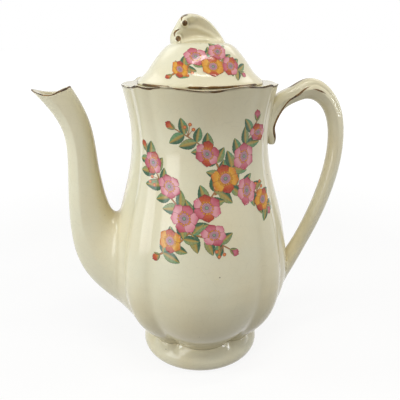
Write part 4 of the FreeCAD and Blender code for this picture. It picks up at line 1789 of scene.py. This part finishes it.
@dataclass
class Drawing:
    """Flat painting of small grids of points, each point with a colour and each grid on its own level."""

    seed: int
    bark: Colour = linear(186, 130, 52)
    bark_edge: Colour = linear(120, 60, 56)
    leaf_pale: Colour = linear(94, 148, 102)
    leaf_deep: Colour = linear(50, 98, 66)
    leaf_edge: Colour = linear(36, 62, 46)
    leaf_flush: Colour = linear(196, 150, 56)
    eye: Colour = linear(136, 152, 130)
    eye_edge: Colour = linear(66, 74, 70)
    lilac: Colour = linear(206, 158, 172)
    plum: Colour = linear(112, 40, 66)
    pollen: Colour = linear(220, 150, 36)
    pollen_edge: Colour = linear(120, 56, 18)
    berry: Colour = linear(222, 128, 60)
    berry_edge: Colour = linear(150, 40, 36)
    petal_shape: PetalShape = PetalShape()
    leaf_shape: LeafShape = LeafShape()
    blossom_shape: BlossomShape = BlossomShape()
    twig: TwigShape = TwigShape()
    disc_rings: Row = (0.04, 0.55, 0.8, 1.0)
    disc_stops: Pair = (0.6, 0.9)
    disc_points: int = 13
    leaf_levels: int = 3
    blossom_levels: int = 4
    blossom_coats: int = 4
    lift: float = 0.05
    coat: float = 0.006

    def __post_init__(self) -> None:
        """Starts the draws on an empty sheet."""
        self.draw = np.random.default_rng(self.seed)
        self.count = 0
        self.spots: list[np.ndarray] = []
        self.inks: list[np.ndarray] = []
        self.levels: list[np.ndarray] = []
        self.faces: list[tuple[int, ...]] = []

    def lay(self, spots: np.ndarray, inks: np.ndarray, level: float) -> None:
        """Adds one grid of points.

        Args:
            spots: flat points by row and column.
            inks: a colour for each point.
            level: how many coats of paint it lies above the first.
        """
        rows, columns = spots.shape[:2]
        across, along = np.diff(spots, axis=1)[:-1], np.diff(spots, axis=0)[:, :-1]
        area = (across[..., 0] * along[..., 1] - across[..., 1] * along[..., 0]).sum()
        self.faces += [face[::1 if area > 0 else -1] for face in strip_faces(rows, columns, self.count)]
        self.count += rows * columns
        self.spots.append(spots.reshape(-1, 2))
        self.inks.append(np.broadcast_to(inks, (rows, columns, 4)).reshape(-1, 4))
        self.levels.append(np.full(rows * columns, float(level)))

    @staticmethod
    def shade(tone: np.ndarray, stops: Sequence[float], inks: Sequence[Colour]) -> np.ndarray:
        """Colours at tones between some stops."""
        return np.stack([np.interp(tone, stops, channel) for channel in zip(*inks)], -1)

    @staticmethod
    def blend(inks: np.ndarray, other: Colour, share: np.ndarray) -> np.ndarray:
        """Colours with a share of another one."""
        share = np.broadcast_to(share, inks.shape[:-1])[..., None]
        return inks * (1 - share) + np.array(other) * share

    @staticmethod
    def ways(angle: float) -> tuple[np.ndarray, np.ndarray]:
        """The way along an angle, and the way to its left."""
        return compass(angle), compass(angle + math.pi / 2)

    def petal(self, centre: np.ndarray, angle: float, length: float, half: float, ink: PetalInk,
              level: float) -> None:
        """Paints a round petal, paler to one side and dark along its edge.

        Args:
            centre: the point that it starts near.
            angle: the way it points.
            length: its length.
            half: half of its width.
            ink: its colours.
            level: its coat.
        """
        shape = self.petal_shape
        reach, across = np.array(shape.reach)[:, None], np.array(shape.across)[None, :]
        wide = half * (shape.foot * (1 - reach)
                       + reach ** shape.swell * np.sqrt(1 - reach ** shape.bluntness))
        rim = (1 - shape.droop * across ** 2 * reach ** 3
               + shape.wave * reach ** 2 * np.cos(shape.waves * math.pi * across))
        run = length * (shape.start + (1 - shape.start) * reach) * rim
        way, beside = self.ways(angle)
        spots = centre + run[..., None] * way + (across * wide)[..., None] * beside
        lean = self.draw.uniform(-shape.lean, shape.lean)
        tone = held(reach * shape.tone + lean * across * reach)
        inks = self.shade(tone, shape.tone_stops, (ink.foot, ink.middle, ink.rim))
        edge = np.maximum(np.abs(across) > shape.edge, reach > shape.edge)
        self.lay(spots, self.blend(inks, ink.edge, edge * shape.edge_ink), level)

    def leaf(self, foot: np.ndarray, angle: float, length: float, level: float, slim: float) -> None:
        """Paints a pointed leaf of two greens with a pale rib and a flush of gold.

        Args:
            foot: where it starts.
            angle: the way it points.
            length: its length.
            level: its coat.
            slim: half of its width, as a share of its length.
        """
        shape = self.leaf_shape
        rows, across = np.arange(shape.rows)[:, None], np.array(shape.across)[None, :]
        reach = rows / (shape.rows - 1)
        belly = np.sin(math.pi * reach ** shape.swell) ** shape.swell * (1 + shape.teeth * (rows % 2))
        bend = self.draw.uniform(-shape.bend, shape.bend)
        aside = across * length * slim * (belly + shape.foot) + length * bend * reach ** 2
        way, beside = self.ways(angle)
        spots = foot + (length * reach)[..., None] * way + aside[..., None] * beside
        inks = self.shade(np.broadcast_to(across, aside.shape), (-shape.rib, shape.rib),
                          (self.leaf_pale, self.leaf_deep))
        veins = (rows % shape.vein_rows == 0) * (np.abs(np.abs(across) - shape.vein_at) < shape.rib)
        inks = self.blend(inks, self.leaf_edge, veins * shape.vein_ink)
        flush = self.draw.uniform(0.0, shape.flush_most)
        away = np.abs(reach - self.draw.uniform(*shape.flush_places))
        flush = flush * held(shape.flush_fall[0] - shape.flush_fall[1] * away)
        inks = self.blend(inks, self.leaf_flush, flush * held(shape.flush_side - across))
        inks = self.blend(inks, self.leaf_flush, (np.abs(across) < shape.rib) * shape.rib_ink)
        edge = (np.abs(across) > shape.edge) * shape.edge_ink
        self.lay(spots, self.blend(inks, self.leaf_edge, edge), level)

    def disc(self, centre: np.ndarray, radius: float, inks: tuple[Colour, Colour], level: float,
             points: int) -> None:
        """Paints a round spot with a rim.

        Args:
            centre: its middle.
            radius: its size.
            inks: colours of its middle and its rim.
            level: its coat.
            points: how many points each of its rings has.
        """
        rings = np.array(self.disc_rings)
        ways = compass(np.linspace(0.0, FULL_TURN, points))
        tones = np.repeat(rings[:, None], points, 1)
        spots = centre + (radius * rings)[:, None, None] * ways
        self.lay(spots, self.shade(tones, self.disc_stops, inks), level)

    def blossom(self, plan: Blossom, level: float) -> None:
        """Paints a six-petalled blossom with spokes, pollen and an eye, seen a little from one side.

        Args:
            plan: its place, size, colours and turn.
            level: its lowest coat.
        """
        shape, size, centre = self.blossom_shape, plan.size, np.array(plan.at)
        inks = plan.bloom.value
        first = len(self.spots)
        turn = math.radians(plan.turn)
        for index in range(shape.petals):
            angle = turn + index * FULL_TURN / shape.petals
            angle += self.draw.uniform(-shape.petal_jitter, shape.petal_jitter)
            self.petal(centre, angle, size * self.draw.uniform(*shape.petal_lengths),
                       shape.petal_half * size, inks[index % len(inks)], level + index % 2)
        rings = np.array(shape.spoke_rings)[:, None, None] * size
        spots = centre + rings * compass(np.linspace(0.0, FULL_TURN, shape.spoke_points))
        spokes = (np.arange(shape.spoke_points) % 2)[None, :] * np.array(shape.spoke_inks)[:, None]
        lilac = np.broadcast_to(self.lilac, (*spokes.shape, 4))
        self.lay(spots, self.blend(lilac, self.plum, spokes), level + 2)
        for index in range(shape.grains):
            angle = turn + index * FULL_TURN / shape.grains
            way = compass(angle + self.draw.uniform(-shape.grain_jitter, shape.grain_jitter))
            self.disc(centre + way * size * self.draw.uniform(*shape.grain_reach), shape.grain_size * size,
                      (self.pollen, self.pollen_edge), level + 3, shape.grain_points)
        self.disc(centre, shape.eye * size, (self.eye, self.eye_edge), level + 3, self.disc_points)
        axis = compass(turn * shape.tilt_turn)
        tilt = self.draw.uniform(0.0, shape.tilt)
        for index in range(first, len(self.spots)):
            away = self.spots[index] - centre
            self.spots[index] = centre + away - tilt * (away @ axis)[:, None] * axis

    def bud(self, foot: np.ndarray, angle: float, size: float, ink: PetalInk) -> None:
        """Paints a closed bud between two sepals.

        Args:
            foot: where it starts.
            angle: the way it points.
            size: its length.
            ink: its colours.
        """
        twig, level = self.twig, Coat.BUD.value
        for lean, length in twig.bud_petals:
            self.petal(foot, angle + lean, size * length, twig.bud_half * size, ink,
                       level if lean else level + 1)
        base = foot - compass(angle) * twig.sepal_drop * size
        for lean in twig.sepal_leans:
            self.leaf(base, angle + lean, twig.sepal_length * size, level + 2, self.leaf_shape.sepal_slim)

    def berries(self, foot: np.ndarray, angle: float) -> None:
        """Paints a small spray of berries.

        Args:
            foot: where it starts.
            angle: the way it points.
        """
        twig, level = self.twig, Coat.BUD.value
        for lean, run in twig.berry_stalks:
            tip = foot + compass(angle + lean) * run
            bow = (foot + tip) / 2 + compass(angle) * twig.stalk_bow
            self.stem(np.array([foot, bow, tip]), twig.stalk_half, level)
            self.disc(tip, twig.berry_radius, (self.berry, self.berry_edge), level + 1, self.disc_points)

    def stem(self, points: np.ndarray, half: float, level: float) -> None:
        """Paints a tapering twig.

        Args:
            points: points that it runs through.
            half: half of its width at its foot.
            level: its coat.
        """
        twig = self.twig
        count = max(twig.least_points, int(chords(points)[-1] / twig.step))
        waver = twig.waver[0] + twig.waver[1] * self.draw.random(count)
        spots = stroke(points, half * np.linspace(*twig.taper, count) * waver)
        self.lay(spots, np.array([self.bark_edge, self.bark, self.bark_edge])[None], level)

    def spray(self, plan: Plan) -> None:
        """Paints stems with leaves on either side, then buds, berries and blossoms.

        Args:
            plan: where each of them is.
        """
        twig = self.twig
        for points in plan.stems:
            line = np.array(points)
            self.stem(line, twig.half, Coat.STEM.value)
            run = chords(line)
            for index, place in enumerate(np.arange(twig.first_leaf, run[-1], plan.leaf_step)):
                spot, ahead = spline(run, line, np.array([place, place + twig.look_ahead]))
                angle = math.atan2(*(ahead - spot)[::-1])
                for side in (1, -1):
                    self.leaf(spot, angle + side * self.draw.uniform(*twig.leaf_leans),
                              plan.leaf * self.draw.uniform(*twig.leaf_sizes),
                              Coat.LEAF.value + index % self.leaf_levels, self.leaf_shape.slim)
        for number, (across, up, angle) in enumerate(plan.buds):
            self.bud(np.array([across, up]), math.radians(angle), twig.bud_size * plan.leaf,
                     (RUST, ROSE)[number % 2])
        for across, up, angle in plan.berries:
            self.berries(np.array([across, up]), math.radians(angle))
        for number, blossom in enumerate(plan.blossoms):
            self.blossom(blossom, Coat.BLOSSOM.value
                         + self.blossom_coats * (number % self.blossom_levels))

    def transfer(self, name: str, body: Body, surface: Surface) -> None:
        """Lays the painting on a surface, and makes the piece.

        Args:
            name: name of the piece.
            body: what it rides on.
            surface: points and normals for places across and up.
        """
        points, normals = surface(*np.concatenate(self.spots).T)
        lift = self.lift + self.coat * np.concatenate(self.levels)
        piece = add_mesh(name, points + normals * lift[:, None], self.faces, ENAMEL)
        layer = piece.data.color_attributes.new("ink", "FLOAT_COLOR", "POINT")
        layer.data.foreach_set("color", np.concatenate(self.inks).astype(np.float32).ravel())
        seat(piece, body, Slot.GLAZE)


@dataclass(frozen=True)
class Lamp:
    """One soft lamp: angles from the front and above the table, size in millimetres, watts and colour."""

    name: str
    azimuth: float
    elevation: float
    size: Spot
    power: float
    colour: tuple[float, float, float]


@dataclass
class Studio:
    """Camera, floor, world and lamps."""

    distance: float = 281.15
    height: float = 191.46
    pitch: float = 18.5
    turn: float = -4.5
    focal_pixels: float = 496.79
    image_pixels: float = 400.0
    sensor: float = 36.0
    clip_start: float = 10.0
    # Floor and world.
    floor_columns: int = 96
    floor_rings: Row = (60.0, 400.0, 1500.0, 6000.0)
    seen_colour: Colour = (1.0, 1.0, 1.0, 1.0)
    seen_strength: float = 1.0
    soft_colour: Colour = (0.97, 0.98, 1.0, 1.0)
    soft_strength: float = 0.2
    # Lamps.
    lamp_aim: float = 90.0
    lamp_reach: float = 750.0
    lights: tuple[Lamp, ...] = (
        Lamp("left_window", -85.0, 22.0, (180.0, 260.0), 1.75, (0.84, 0.95, 1.0)),
        Lamp("left_low", -56.0, 6.0, (360.0, 360.0), 1.75, (0.98, 0.98, 1.0)),
        Lamp("front_left", -30.0, 35.0, (90.0, 90.0), 0.2, (1.0, 0.95, 0.88)),
        Lamp("top_strip", 12.0, 58.0, (420.0, 30.0), 1.15, (1.0, 0.96, 0.86)),
        Lamp("crown_strip", 12.0, 76.0, (420.0, 60.0), 1.3, (1.0, 0.98, 0.88)),
        Lamp("right_window", 78.0, 18.0, (160.0, 220.0), 1.6, (0.93, 0.96, 1.0)),
        Lamp("left_back", -140.0, 45.0, (250.0, 250.0), 0.3, (1.0, 0.98, 0.95)),
        Lamp("right_back", 140.0, 45.0, (250.0, 250.0), 0.4, (1.0, 0.98, 0.95)),
    )

    def camera(self) -> None:
        """Places the camera as the photograph's."""
        data = bpy.data.cameras.new("camera")
        data.sensor_width = self.sensor
        data.lens = self.focal_pixels / self.image_pixels * self.sensor
        data.clip_start = self.clip_start * MM
        item = bpy.data.objects.new("camera", data)
        turn = Matrix.Rotation(math.radians(self.turn), 4, "Z")
        place = Matrix.Translation((0, -self.distance * MM, self.height * MM))
        tilt = Matrix.Rotation(math.radians(90 - self.pitch), 4, "X")
        item.matrix_world = turn @ place @ tilt
        bpy.context.scene.collection.objects.link(item)
        bpy.context.scene.camera = item

    def floor(self) -> None:
        """Lays a wide round floor under the foot."""
        skin = Skin(turned(np.array(self.floor_rings)[:, None], circle(self.floor_columns), 0.0))
        faces = [face[::-1] for face in skin.faces()] + [tuple(range(self.floor_columns))]
        add_mesh("floor", skin.points, faces, PaleFloor())

    def world(self) -> None:
        """White to the eye and in reflections, and a plain soft light on the object."""
        world = bpy.data.worlds.new("studio")
        bpy.context.scene.world = world
        world.use_nodes = True
        graph = Graph(world.node_tree)
        white, light = (
            graph.node("ShaderNodeBackground", inputs={"Color": colour, "Strength": strength})
            for colour, strength in ((self.seen_colour, self.seen_strength),
                                     (self.soft_colour, self.soft_strength)))
        graph.finish(graph.blend(graph.seen(), light, white), "ShaderNodeOutputWorld")

    def lamps(self) -> None:
        """Hangs the lamps round the pot."""
        aim = Vector((0.0, 0.0, self.lamp_aim * MM))
        for lamp in self.lights:
            side, up = math.radians(lamp.azimuth), math.radians(lamp.elevation)
            away = Vector((math.sin(side) * math.cos(up), -math.cos(side) * math.cos(up), math.sin(up)))
            data = bpy.data.lights.new(lamp.name, "AREA")
            data.shape = "RECTANGLE"
            data.size, data.size_y = (length * MM for length in lamp.size)
            data.energy = lamp.power
            data.color = lamp.colour
            item = bpy.data.objects.new(lamp.name, data)
            item.location = aim + away * self.lamp_reach * MM
            item.rotation_euler = (-away).to_track_quat("-Z", "Y").to_euler()
            bpy.context.scene.collection.objects.link(item)

    def build(self) -> None:
        """Sets the stage."""
        self.camera()
        self.floor()
        self.world()
        self.lamps()
        bpy.context.scene.view_settings.view_transform = "Standard"


def main() -> None:
    """Builds the pot, its lid and the studio."""
    logging.basicConfig(level=logging.INFO, format="%(message)s")
    body = PotBody()
    spout = Spout()
    handle = Handle()
    # Each fillet darkens the glaze by a share, partly pooled glaze and partly painted shade.
    spout_joint = Joint(body.plain, spout.outside, reach=3.0, sink=3.0, pool=0.5)
    handle_joint = Joint(body.plain, handle.outside, reach=2.6, sink=1.5, pool=0.1)
    body.build([spout_joint, handle_joint])
    FootRing(body.radii[0]).build()
    spout.build(spout_joint)
    handle.build(handle_joint)
    lid = Lid()
    lid.build()
    Finial().build(lid.dome)
    for name, seed, plan, place, surface in (("body_print", 3, BODY_PLAN, Body.POT, body.surface),
                                             ("lid_print", 8, LID_PLAN, Body.LID, lid.surface)):
        drawing = Drawing(seed)
        drawing.spray(plan)
        drawing.transfer(name, place, surface)
    Studio().build()


if __name__ == "__main__":
    main()
